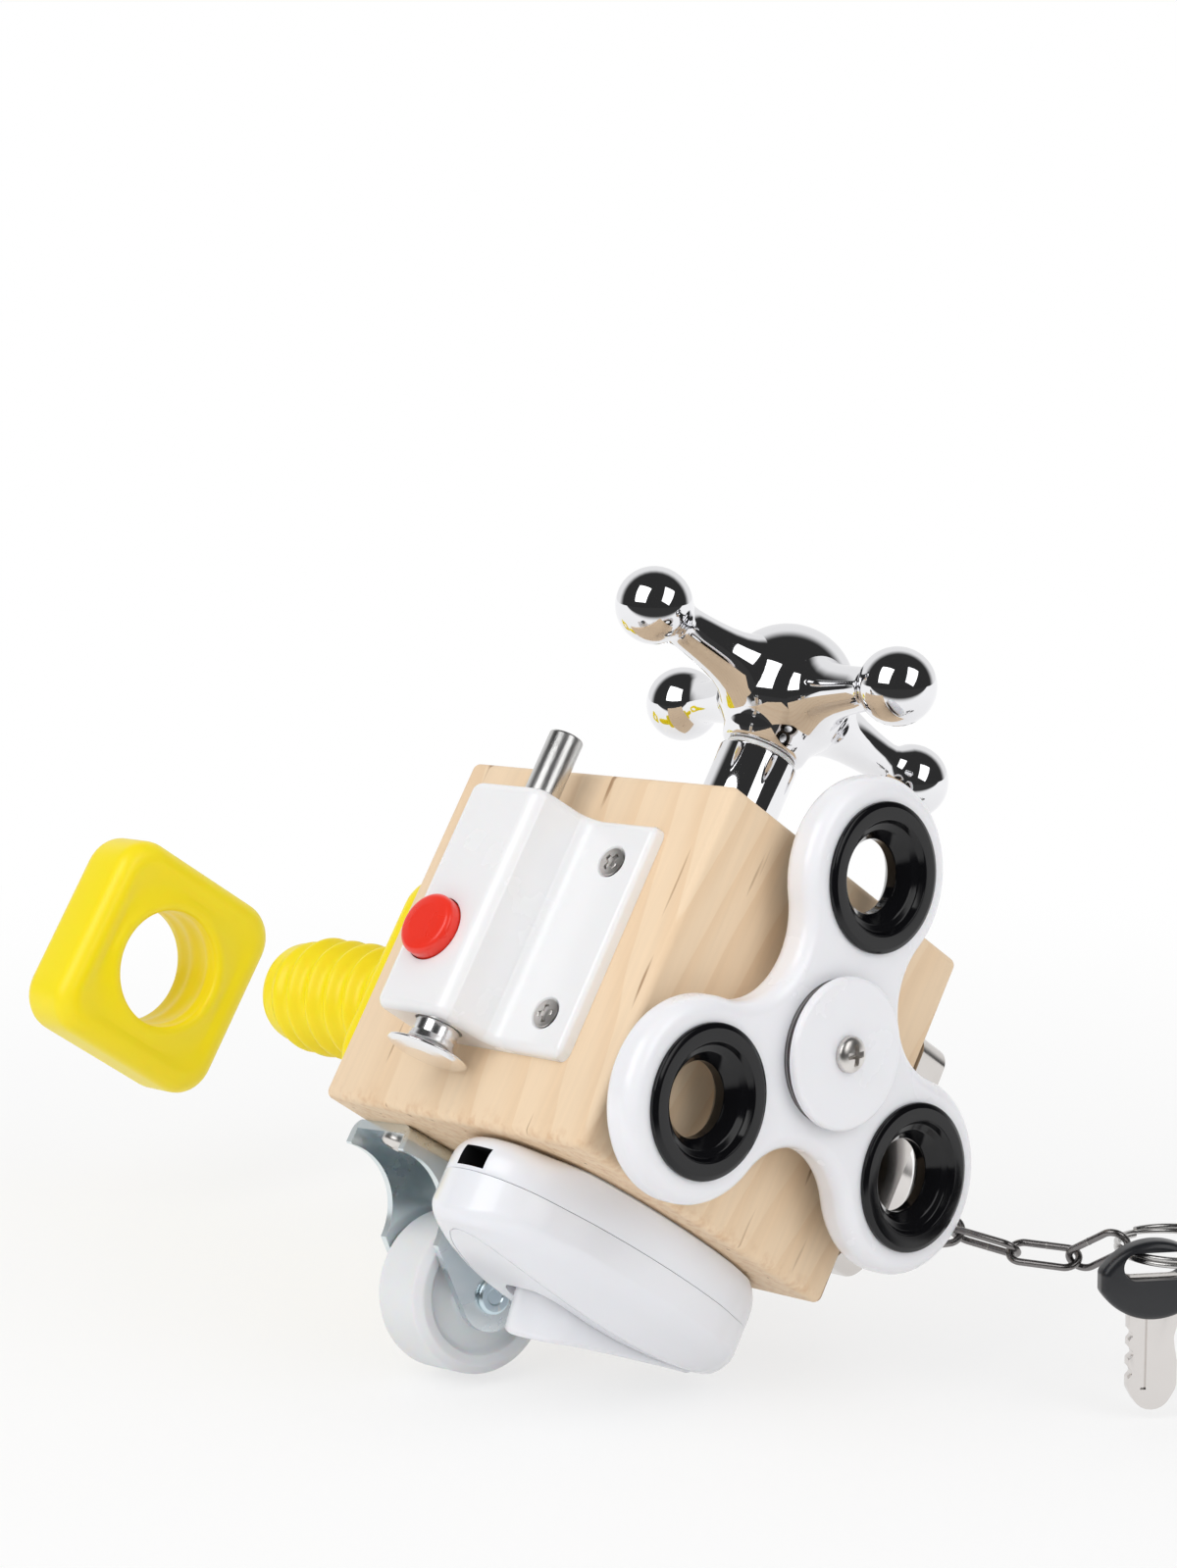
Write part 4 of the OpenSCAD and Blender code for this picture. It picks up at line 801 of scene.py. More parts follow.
class BUSY_OT_latch(bpy.types.Operator):
    """Builds the spring latch with its pin, knob and red button"""

    bl_idname = "busy.latch"
    bl_label = "Spring latch"

    def execute(self, context):
        s = context.scene.busy_latch
        section = [(-13, 0), (19.9, 0), *arc(18.9, 1.4, 1.0, 0, 90, 5),
                   *arc(7.6, 5.4, 3.0, 270, 205, 9), *arc(1.1, 9.5, 3.0, 25, 90, 9),
                   *arc(-10.6, 10.1, 2.4, 90, 180, 8)]
        casing = loft([[(x, -HALF - (max(y, 0.15) if from_wood else 0.0), z)
                        for (x, y), (_, from_wood) in zip(inset(section, d), section)]
                       for d, z in rims(CASE_FOOT, CASE_TOP, 1.7, 6)])
        cone = lathe([(0, 0.9), (1.3, 0.9), (2.75, 2.43), (2.9, 4.5), (0, 4.5)], 48)
        # below the button is room for its flange, its arm and its spring
        casing = carve(
            casing, moved(rod(2.9, 48, 54), PIN), moved(rod(3.9, 10, 30), PIN),
            moved(rod(5.3, 10.8, 16), BUTTON), moved(rod(6.0, 8.3, 11.0), BUTTON),
            moved(box((-10.7, 24.8, 3.2), (-6.9, 28.4, 9.2)), FRONT),
            moved(rod(1.7, 5, 10), BUTTON_SPRING), *[moved(cone, p) for p, _ in LATCH_SCREWS])
        even_normals(piece("latch_case", casing, white_plastic("latch plastic", s.casing),
                           bevel=0.22))
        pin = soften([(0, 15.2), (2.8, 15.2, 0.2), (2.8, 39.8), (3.65, 39.8, 0.2),
                      (3.65, 41.8, 0.2), (2.8, 41.8), (2.8, 62.3, 0.45), (0, 62.3)], steps=4)
        piece("latch_rod", lathe(pin, 64), metal("streaky zinc"), PIN, "latch_pin")
        knob = soften([(0, 6.82), (3.4, 6.92, 0.5), (5.6, 7.2, 0.3), (6.6, 7.7, 0.25),
                       (6.4, 8.05, 0.3), (5.0, 8.2, 0.6), (3.9, 9.0, 0.8), (3.5, 10.2, 0.5),
                       (3.5, 19.2, 0.2), (2.85, 19.2), (2.85, 15.2), (0, 15.2)], steps=4)
        piece("latch_knob", lathe(knob), metal("satin chrome"), PIN, "latch_pin")
        button = soften([(0, 9.9), (5.65, 9.9, 0.2), (5.65, 10.9, 0.2), (5.1, 10.9),
                         (5.1, 14.85, 1.0), (3.0, 15.0, 0.8), (0, 15.0)], steps=6)
        arm = box((-4.3, -0.5, 5), (-1.1, 2.5, 10.4))
        # the underside is cut away over the pin, so the press clears its collar
        body = carve(lathe(button, 72), box((0.3, -9, 2), (12.3, 9, 12.1)))
        red = finish("red plastic", s.button, roughness=0.28, mottle=0.06, spread=0.03,
                     scale=160, bump=0.08, coat=0.2, soft=0.05)
        piece("latch_button", joined(body, arm), red, BUTTON, "button")
        steel = metal("turned steel")
        piece("latch_spring", helix(3.33, 0.28, 42.2, 49.2, 6), steel, PIN)
        button_spring = piece("latch_button_spring", helix(1.15, 0.2, 5.35, 9.6, 5), steel,
                              BUTTON_SPRING)
        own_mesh(button_spring)
        screws_piece("latch_screws", *[moved(flush_screw(2.4, 1.2, 12.0, turn), p @ at(0, 0, 2.4))
                                       for p, turn in LATCH_SCREWS])
        return {"FINISHED"}


# ---- caster
CASTER = BOTTOM @ at(-19.75, 0, 0) @ turned("Z", 9)


class BUSY_OT_caster(bpy.types.Operator):
    """Builds the caster's nylon wheel, its axle and its screws"""

    bl_idname = "busy.caster"
    bl_label = "Caster"

    def execute(self, context):
        s = context.scene.busy_caster
        axle = CASTER @ at(0, -4, 17.3) @ turned("Y", 90)
        nylon = finish("white nylon", s.wheel, roughness=0.34, mottle=0.06, spread=0.02,
                       scale=80, bump=0.05, soft=0.35)
        wheel = turned_ring(mirrored([
            (2.06, 6.2, 0.1), (4.7, 6.2, 0.3), (5.0, 4.7, 0.8), (9.1, 4.3, 0.9), (9.7, 6.0, 0.4),
            (11.4, 6.2, 0.6), (12.75, 5.0, 0.9)]), 5, 128)
        piece("caster_wheel", wheel, nylon, axle, "wheel")
        rivet = mirrored([(0, -9.2), (1.3, -9.2), (1.5, -9.55), (2.5, -9.55), (2.9, -9.2),
                          (2.9, -8.62), (2.0, -8.62)])
        piece("caster_axle", lathe(soften(rivet, 0.2, 3), 64), metal("blue zinc"), axle)
        screws_piece("caster_screws", *[
            moved(pan_screw(2.9, 1.5, 1.5, 13.0, turn), CASTER @ at(0, y, 1.5))
            for y, turn in ((18, 30), (-9, 70))])
        return {"FINISHED"}


# ---- cord switch
SWITCH = BOTTOM @ at(9, -1.2, 0)
PIVOT_AT, PIVOT_DEPTH, ROCKER_REACH, ROCKER_HALF = -6.0, 14.2, 18.0, 5.6
# the opening's gap round the key, and its further room at the round end
ROCKER_SLACK, ROCKER_ROOM = 0.35, 0.75
KEY_LOW, KEY_HIGH, KEY_RUN = 16.6, 23.9, 33.0
INLET = ((-2.9, 18, 2.9), (2.9, 34, 6.2))
INLET_SHADE = ((-2.95, 17.5, 2.85), (2.95, 29.0, 6.25))
# the shells meet at this depth; the cover's oval field is arched along its length
SPLIT = 6.9
OVAL_HALF_WIDTH, OVAL_HALF_LENGTH, ARCH_R = 10.2, 30.5, 125.0


def switch_outline(settings, count=192):
    """Boat-shaped outline with bowed sides and blunt round ends."""
    half_w, half_l = settings.width / MM / 2, settings.length / MM / 2
    side_r, nose_r = 73.0, 12.0

    def inside(x, y):
        if abs(y) > half_l or abs(x) > math.sqrt(side_r ** 2 - y * y) - (side_r - half_w):
            return False
        past = abs(y) - (half_l - nose_r)
        return past <= 0 or x * x + past * past <= nose_r ** 2

    radii = []
    for c, s in circle(count):
        low, high = 0.0, 40.0
        for _ in range(30):
            mid = (low + high) / 2
            if inside(mid * c, mid * s):
                low = mid
            else:
                high = mid
        radii.append(low)
    for _ in range(2):
        radii = [(radii[k - 2] + radii[k - 1] + radii[k] + radii[(k + 1) % count]
                  + radii[(k + 2) % count]) / 5 for k in range(count)]
    return [(r * c, r * s) for r, (c, s) in zip(radii, circle(count))]


def pillow(outline, top, floor_z, rim, rows=14, bend=None):
    """Solid over an outline whose upper side follows a height function, with a soft rim."""
    rings = [[(x, y, floor_z) for x, y in outline]]
    for inward, up in quarter(8):
        rings.append([(x, y, top(x, y) - rim * inward) for x, y in inset(outline, rim * up)])
    for k in range(1, rows):
        f = 1 - k / rows
        rings.append([(x * f, y * f, top(x * f, y * f)) for x, y in inset(outline, rim)])
    if bend:
        rings = [[bend(*p) for p in ring] for ring in rings]
    points, faces, rows = skin(rings)
    faces.append(rows[0][::-1])
    points.append(tuple(sum((Vector(p) for p in rings[-1]), Vector()) / len(outline)))
    strip(faces, rows[-1], [len(points) - 1])
    return points, faces


def rocker_plan(slack, room=0.0):
    """The key's outline: square at its low end, round at the raised end."""
    w, reach = ROCKER_HALF + slack, ROCKER_REACH + slack
    tip = PIVOT_AT + reach - w + room
    foot = PIVOT_AT - reach
    low = soften([(-w, tip), (-w, foot), (w, foot), (w, tip)], 0.6, steps=4)[1:-1]
    left = [(-w, tip + (foot - tip) * k / 24) for k in range(24)]
    left = [p for p in left if p[1] > foot + 1.2]
    right = [(-x, y) for x, y in reversed(left)]
    return left + low + right + arc(0, tip, w, 0, 180, 28)[1:-1]


def on_rocker_arc(x, y, z):
    """Ends of the key are arcs about its own pivot."""
    lean = math.sqrt(max(0.05, 1 - ((z - PIVOT_DEPTH) / ROCKER_REACH) ** 2))
    return (x, PIVOT_AT + (y - PIVOT_AT) * lean, z)


class BUSY_OT_switch(bpy.types.Operator):
    """Builds the two shells and the key of the cord switch"""

    bl_idname = "busy.switch"
    bl_label = "Cord switch"

    def execute(self, context):
        s = context.scene.busy_switch
        plastic = finish("switch plastic", s.shell, roughness=0.24, mottle=0.05, spread=0.012,
                         scale=90, bump=0.04, coat=0.3, soft=0.05)
        outline = switch_outline(s)
        crown = s.depth / MM

        def top(x, y):
            arch = ARCH_R - math.sqrt(ARCH_R ** 2 - y * y)
            past = math.hypot(x / OVAL_HALF_WIDTH, y / OVAL_HALF_LENGTH) - 1.0
            fall = 11.0 * (past if past > 0.06 else max(0.0, past + 0.06) ** 2 / 0.24)
            return crown - arch - max(0.0, fall)

        # the opening's round end leaves room for the pressed key
        far = PIVOT_AT + ROCKER_REACH + ROCKER_SLACK
        opening = [(x, min(y, far)) for x, y in rocker_plan(ROCKER_SLACK, ROCKER_ROOM)]
        opening = loft([[on_rocker_arc(x, y, z) for x, y in opening]
                        for z in (6.0, 9.8, 12.0, 14.2, 16.0, 18.0, 20.0, 24.0)])
        # a fine groove runs round the key's oval
        groove = []
        for wide, deep in ((-0.13, -0.22), (-0.13, 0.6), (0.13, 0.6), (0.13, -0.22)):
            oval = [((9.4 + wide) * c, (28.2 + wide) * sn) for c, sn in circle(160)]
            groove.append([(x, y, top(x, y) + deep) for x, y in oval])
        cover = carve(pillow(outline, top, SPLIT, 1.6, rows=20), opening, loft(groove, loop=True))
        even_normals(piece("switch_cover", cover, plastic, SWITCH, bevel=0.18))

        rings = []
        for inward, up in quarter(8):
            ring = []
            for x, y in outline:
                end = min(1.0, max(0.0, (abs(y) - 19) / 10))
                rim = 0.5 + 4.3 * end * end * (3 - 2 * end)
                pull = rim * inward / math.hypot(x, y)
                ring.append((x * (1 - pull), y * (1 - pull), rim * up))
            rings.append(ring)
        # the edge at the wood is set back, which leaves a narrow dark line
        foot = [(x * 0.95, y * 0.95) for x, y, z in rings[0]]
        rings = [[(x, y, 0) for x, y in foot], [(x, y, 0.5) for x, y in foot],
                 *[[(x, y, max(z, 0.5)) for x, y, z in ring] for ring in rings[:-1]], rings[-1],
                 [(x, y, 6.55) for x, y in outline],
                 [(x * 0.994, y * 0.994, 6.8) for x, y in outline]]
        # the inlet, and room below the key for the seesaw and its contacts
        base = carve(loft(rings), box(*INLET), box((-3.2, -18.5, 2.0), (3.2, 6.5, 8.0)))
        lower = piece("switch_base", base, plastic, SWITCH, bevel=0.15)
        lower.data.materials.append(finish("inlet shadow", (0.01, 0.01, 0.012), roughness=0.8,
                                           mottle=0.05))
        inward = (Matrix.Scale(MM, 4) @ SWITCH).inverted()
        for face in lower.data.polygons:
            if all(a < v < b for a, v, b in zip(INLET_SHADE[0], inward @ face.center,
                                                INLET_SHADE[1])):
                face.material_index = 1

        def slope(x, y):
            return KEY_LOW + (y - (PIVOT_AT - ROCKER_REACH)) * (KEY_HIGH - KEY_LOW) / KEY_RUN

        key = pillow(rocker_plan(0.0), slope, 11.6, 0.9, rows=10, bend=on_rocker_arc)
        piece("switch_rocker", key, plastic, SWITCH, "rocker")
        return {"FINISHED"}


# ---- bolt and nut
BOLT = LEFT @ at(5, 24.5, 0)
ROUND_POINTS = 160
THREAD_ROOT, THREAD_STEP = 8.7, 0.3
NUT_AT, NUT_THICK = 87, 13.0


def square_ring(half, corner, z):
    """Ring of points on a rounded square, evenly spread by angle."""
    ring = []
    flat = half - corner
    for c, s in circle(ROUND_POINTS, 0.5):
        reach = half / max(abs(c), abs(s))
        x, y = reach * c, reach * s
        if abs(x) > flat and abs(y) > flat:
            # meet the corner's circle along the same direction
            px, py = math.copysign(flat, c), math.copysign(flat, s)
            b = c * px + s * py
            reach = b + math.sqrt(max(0.0, b * b - px * px - py * py + corner * corner))
            x, y = reach * c, reach * s
        ring.append((x, y, z))
    return ring


def circle_ring(radius, z):
    return [(radius * c, radius * s, z) for c, s in circle(ROUND_POINTS, 0.5)]


def threaded(root, deep, pitch, z0, z1, fade_in, fade_out):
    """Rings of a coarse rounded thread; a negative depth makes it point inward."""
    rings = []
    n = int(round((z1 - z0) / THREAD_STEP))
    for i in range(n + 1):
        z = z0 + (z1 - z0) * i / n
        fade = min(1.0, max(0.0, (z - z0) / fade_in)) * min(1.0, max(0.0, (z1 - z) / fade_out))
        ring = []
        for k, (c, s) in enumerate(circle(ROUND_POINTS, 0.5)):
            turn = (k + 0.5) / ROUND_POINTS
            wave = 0.5 + 0.5 * math.cos(math.tau * (z / pitch - turn))
            r = root + deep * wave ** 1.3 * fade
            ring.append((r * c, r * s, z))
        rings.append(ring)
    return rings


class BUSY_OT_bolt(bpy.types.Operator):
    """Builds the yellow toy bolt and its nut"""

    bl_idname = "busy.bolt"
    bl_label = "Toy bolt and nut"

    def execute(self, context):
        s = context.scene.busy_bolt
        half, pitch = s.square / MM / 2, s.pitch / MM
        yellow = finish("yellow plastic", s.yellow, roughness=0.36, mottle=0.06, spread=0.02,
                        scale=70, bump=0.06, soft=0.15)
        edge, small = 2.4, 0.8
        head = [square_ring(half - small * inward, 7, small * up) for inward, up in quarter(5)]
        head += [square_ring(half - edge * up, 7 - edge * 0.6 * up, 10 - edge * inward)
                 for inward, up in quarter(8)]
        head.append(square_ring(half - 5.5, 3.2, 9.9))
        shaft = threaded(THREAD_ROOT, 1.5, pitch, 9.0, 46.6, 2.5, 4.0)
        for a in [math.pi / 2 * k / 8 for k in range(1, 9)]:
            shaft.append(circle_ring(THREAD_ROOT - 4 * (1 - math.cos(a)), 47 + 4 * math.sin(a)))
        shaft += [circle_ring(r, z) for r, z in ((4.45, 50.98), (4.2, 50.6), (4.2, 16.1),
                                                 (2.1, 16.0))]
        piece("toy_bolt", joined(loft(head), loft(shaft)), yellow, BOLT)
        piece("toy_bolt_screw", pan_screw(3.9, 2.6, 2.0, 29.5, 40), metal("nickelled screws"),
              BOLT @ at(0, 0, 16.05))

        # the nut: soft square rim, dished faces, a raised lip and a threaded bore
        rim = 3.2
        lower = [square_ring(half - rim * inward, 7 - rim * inward * 0.7, rim * up)
                 for inward, up in quarter(8)]
        dish = [(15.0, 4.3, 0.05), (14.2, 6.5, 0.45), (13.6, 9.0, 0.5), (13.1, 12.0, 0.35)]
        face = [square_ring(h, c, z) for h, c, z in dish]
        face += [circle_ring(r, z) for r, z in ((12.6, 0.12), (12.0, 0.0), (11.2, 0.1),
                                                (10.75, 0.5), (10.6, 0.95))]

        def turned_over(rings):
            return [[(x, y, NUT_THICK - z) for x, y, z in ring] for ring in rings]

        bore = threaded(10.6, -0.35, pitch, 1.3, NUT_THICK - 1.3, 1.5, 1.5)
        nut = [*face[::-1], *lower, *turned_over(lower[::-1]), *turned_over(face), *bore[::-1]]
        piece("toy_nut", loft(nut, loop=True), yellow, BOLT @ at(0, 0, NUT_AT),
              "nut")
        return {"FINISHED"}


# ---- lock
LOCK = BACK @ at(-9.5, 27, 0)


class BUSY_OT_lock(bpy.types.Operator):
    """Builds the lock's barrel and screws"""

    bl_idname = "busy.lock"
    bl_label = "Lock"

    def execute(self, context):
        piece("lock_barrel", turned_ring([
            (6.66, 6.0), (9.6, 6.0), (9.6, 8.2, 0.1), (9.25, 8.45, 0.05), (9.25, 8.9, 0.05),
            (9.6, 9.15, 0.1), (9.6, 20.9, 0.5), (8.8, 22.0, 0.3), (7.4, 22.0, 0.1),
            (7.1, 21.6, 0.1), (6.66, 21.6)]), metal("nickel plate"), LOCK)
        screws_piece("lock_screws", *[
            moved(pan_screw(2.8, 1.7, 1.5, 17.8, 15 + 50 * i),
                  LOCK @ at(15.7 * sx, 15.7 * sy, 6))
            for i, (sx, sy) in enumerate(((-1, -1), (1, -1), (1, 1), (-1, 1)))])
        return {"FINISHED"}


# ---- chain, ring and keys
RUN, END_R, RING_R = 6.8, 2.15, 9.6
EYE_R, EYE_WIRE = 3.9, 0.8
EYE_FOOT = BACK @ at(-25.2, 16.6, 6.0)
# each key's way round the ring, its turn about the wire and its shift across it
KEY_PLACES = ((222, -33, -2.2), (20, 0, 0))
KEY_DROP = -0.95
KEY_HANG, RING_LEAN = Vector((-0.064, 0.576, -0.815)), Vector((0.05, -0.56, 0.82))
LINK_PLAY, RING_STACK = 0.15, 0.9
# which way each link, and last the ring, lies: azimuth and elevation; then the links' rolls
HEADINGS = ((27, 27), (20, 1), (24, 11), (-14, 26), (42.5, 22.8))
ROLLS = (0, 0, -24, 0)


def bent(middle, radius, a, ahead, out):
    """A point on a bend, where its angle is measured from one direction to the other."""
    return middle + radius * (math.cos(a) * ahead + math.sin(a) * out)


def heading(azimuth, elevation):
    a, e = math.radians(azimuth), math.radians(elevation)
    return Vector((math.cos(e) * math.cos(a), math.cos(e) * math.sin(a), math.sin(e)))


def hook(start, along, roll, wire, wire_across, onward):
    """A link: where its first bend is, its two directions, and its pull point and wire there."""
    side = along.cross(wire_across).normalized()
    a = math.radians(roll)
    side = math.cos(a) * side + math.sin(a) * along.cross(side)
    first = start + along * (END_R - wire - LINK_PLAY)
    pull = Vector((max(onward.dot(along), 0.2), onward.dot(side))).normalized()
    tip = first + along * RUN + END_R * (pull.x * along + pull.y * side)
    return first, along, side, tip, pull.x * side - pull.y * along


def chain_places(wire):
    """Every place along the chain, from the eye on the lock to the split ring."""
    headings = [heading(*angles) for angles in HEADINGS]
    eye = Vector((25.2, 36.0 + 0.6 + EYE_WIRE + EYE_R, 27 - 10.4))
    across = Vector((math.cos(math.radians(-10)), 0, -math.sin(math.radians(-10))))
    outward = Vector((0, 1, 0))
    pull = Vector((headings[0].y, headings[0].dot(across))).normalized()
    apex = eye + EYE_R * (pull.x * outward + pull.y * across)
    wire_dir = pull.x * across - pull.y * outward
    start = apex - headings[0] * (EYE_WIRE - wire / 2)
    links = []
    for i, roll in enumerate(ROLLS):
        links.append(hook(start, headings[i], roll, wire, wire_dir, headings[i + 1]))
        start, wire_dir = links[-1][3:]
    side = RING_LEAN.cross(headings[4]).normalized()
    middle = start + headings[4] * (RING_R - wire / 2 - RING_STACK - LINK_PLAY)
    return eye, across, links, middle, headings[4], side


def key_place(middle, along, side, round_ring, turn, shift):
    """Where a key hangs on the ring."""
    a, t = math.radians(round_ring), math.radians(turn)
    spot = middle + RING_R * (math.cos(a) * along + math.sin(a) * side)
    tangent = (-math.sin(a) * along + math.cos(a) * side).normalized()
    thick = math.cos(t) * tangent + math.sin(t) * tangent.cross(KEY_HANG).normalized()
    down = thick.cross(KEY_HANG).cross(thick).normalized()
    return axes(thick.cross(-down), thick, -down, spot) @ at(shift, 0, KEY_DROP)


class BUSY_OT_chain(bpy.types.Operator):
    """Builds the chain's links, its eye and the split ring"""

    bl_idname = "busy.chain"
    bl_label = "Chain and ring"

    def execute(self, context):
        s = context.scene.busy_chain
        wire = s.wire / MM
        eye, across, links, middle, along, side = chain_places(wire)
        path = [eye + EYE_R * (c * across + sn * Vector((0, 1, 0))) for c, sn in circle(48)]
        stem = lathe(soften([(0, -0.4), (2.2, -0.4), (2.2, 0.5, 0.4), (1.2, 1.5, 0.3), (0, 1.5)],
                            steps=4), 48)
        piece("chain_eye", joined(tube(path, EYE_WIRE, 16), moved(stem, EYE_FOOT),
                                  moved(shank(1.5, 17.9), EYE_FOOT)),
              metal("nickelled screws"))
        for i, (first, ahead, out, tip, wire_dir) in enumerate(links):
            path = []
            for start, bend in ((math.pi / 2, first), (-math.pi / 2, first + ahead * RUN)):
                for k in range(24):
                    path.append(bent(bend, END_R, start + math.pi * k / 23, ahead, out))
            # the butt joint of the bent wire
            seam = tube([first + ahead * (RUN / 2 + d) + out * END_R for d in (-0.12, 0.12)],
                        wire / 2 + 0.03, 16, closed=False)
            piece("chain_link_%d" % (i + 1), joined(tube(path, wire / 2, 16), seam),
                  metal("dark chain steel"), body="link_%d" % (i + 1))
        path = []
        for turn in [2 * k / 220 for k in range(221)]:
            lift = 0.44 * math.tanh((turn - 1) * 9)
            path.append(bent(middle, RING_R, math.tau * turn + 2.2, along, side)
                        + along.cross(side) * lift)
        piece("key_ring", tube(path, 0.43, 14, closed=False), metal("turned steel"),
              body="ring")
        return {"FINISHED"}


class BUSY_OT_keys(bpy.types.Operator):
    """Builds the two keys"""

    bl_idname = "busy.keys"
    bl_label = "Keys"

    def execute(self, context):
        s = context.scene.busy_chain
        black = finish("key plastic", s.bow, roughness=0.34, mottle=0.08, spread=0.15,
                       scale=260, bump=0.2, coat=0.15)
        _, _, _, middle, along, side = chain_places(s.wire / MM)
        top_y = 2.45
        outline = []
        for c, sn in circle(120):
            b = -abs(sn) * 3.75
            reach = b + math.sqrt(b * b + 100 - 3.75 ** 2)
            outline.append((min(8.5, max(-8.5, reach * c)), reach * sn))
        slot = [*arc(3, top_y, 2.2, -90, 90, 16), *arc(-3, top_y, 2.2, 90, 270, 16)]
        bow = carve(prism(outline, -2.0, 2.0, 1.25, steps=6),
                    prism(slot, -3.0, 3.0, 0.05, steps=1))
        blade = prism(soften([
            (-3.9, 0.6), (-3.9, -7.0, 1), (-3.3, -9.2, 1.5), (-3.5, -11.0, 2), (-3.9, -13.0, 2),
            (-3.9, -17.2, 2.6), (-1.9, -20.7, 3.2), (1.9, -20.7, 3.2), (3.9, -17.2, 2.4),
            (3.9, -15.4, 0.4), (3.1, -14.6, 0.6), (3.9, -13.6, 0.4), (3.9, -12.4, 0.4),
            (2.9, -11.6, 0.6), (3.9, -10.4, 0.4), (3.9, -9.4, 0.4), (3.2, -8.6, 0.5),
            (3.9, -7.6, 0.4), (3.9, 0.6)], steps=4, closed=True), -1.0, 1.0, 0.1, steps=3)
        # two milled grooves and a dimple
        blade = carve(blade, box((-1.2, -18.9, 0.45), (-0.3, -6.0, 1.5)),
                      box((1.0, -17.4, -1.5), (1.9, -6.0, -0.5)),
                      moved(rod(0.9, 0.55, 1.5, 32), at(-2.2, -9.8, 0)))
        # outlines are drawn with y up the key and z through its thickness
        upright = axes((1, 0, 0), (0, 0, 1), (0, -1, 0))
        for i, (round_ring, turn, shift) in enumerate(KEY_PLACES):
            place = (key_place(middle, along, side, round_ring, turn, shift)
                     @ at(0, 0, -top_y) @ upright)
            body = "key_%d" % (i + 1)
            piece(body + "_bow", bow, black, place, body)
            piece(body + "_blade", blade, metal("nickel plate"), place, body)
        return {"FINISHED"}


# ---- pieces kept from the frame
KEPT = {
    "turned steel": ("tap_spindle", "tap_clip", "bearing_outer", "bearing_inner", "switch_pivot",
                     "lock_bolt"),
    "chrome plate": ("bearing_balls",),
    "contact brass": ("bearing_cage", "switch_contacts", "switch_seesaw"),
    "blue zinc": ("caster_fork", "caster_washers"),
    "nickelled screws": ("switch_screws",),
    "nickel plate": ("lock_case", "lock_plug"),
}


class BUSY_OT_kept(bpy.types.Operator):
    """Gives the pieces kept from the frame their finishes"""

    bl_idname = "busy.kept"
    bl_label = "Kept pieces"

    def execute(self, context):
        metals = {name: kind for kind, names in KEPT.items() for name in names}
        washer = white_plastic("washer plastic", (0.80, 0.80, 0.80))
        for name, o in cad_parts.items():
            if o.hide_render:
                continue
            o.data.materials.clear()
            o.data.materials.append(washer if name == "tap_washer" else metal(metals[name]))
            if name in ("caster_fork", "lock_case", "lock_bolt", "lock_plug"):
                soft_edges(o, 0.25, 2, 50)
        return {"FINISHED"}


# ---- stage
CAMERA_AT = Vector((0.4015, -0.3726, -0.0986))
CAMERA_RIGHT = Vector((0.68, 0.6227, 0.3872))
CAMERA_UP = Vector((-0.0639, -0.4757, 0.8773))
CAMERA_BACK = Vector((0.7304, -0.6213, -0.2836))
PHOTO_UP = Vector((0.0639, -0.5763, 0.8147)).normalized()
FOCAL_PIXELS, PHOTO_PIXELS, SENSOR = 3600, 1599, 36
FLOOR_REACH, FLOOR_GAP = 6.0, 0.0004
# how far from the object the floor fades, and how far towards the camera it dims in mirrors
FADE, DIM = (0.08, 0.42), (0.10, 0.22)
LAMP_TARGET, LAMP_TALL = Vector((-0.01, 0.0, 0.03)), 0.52


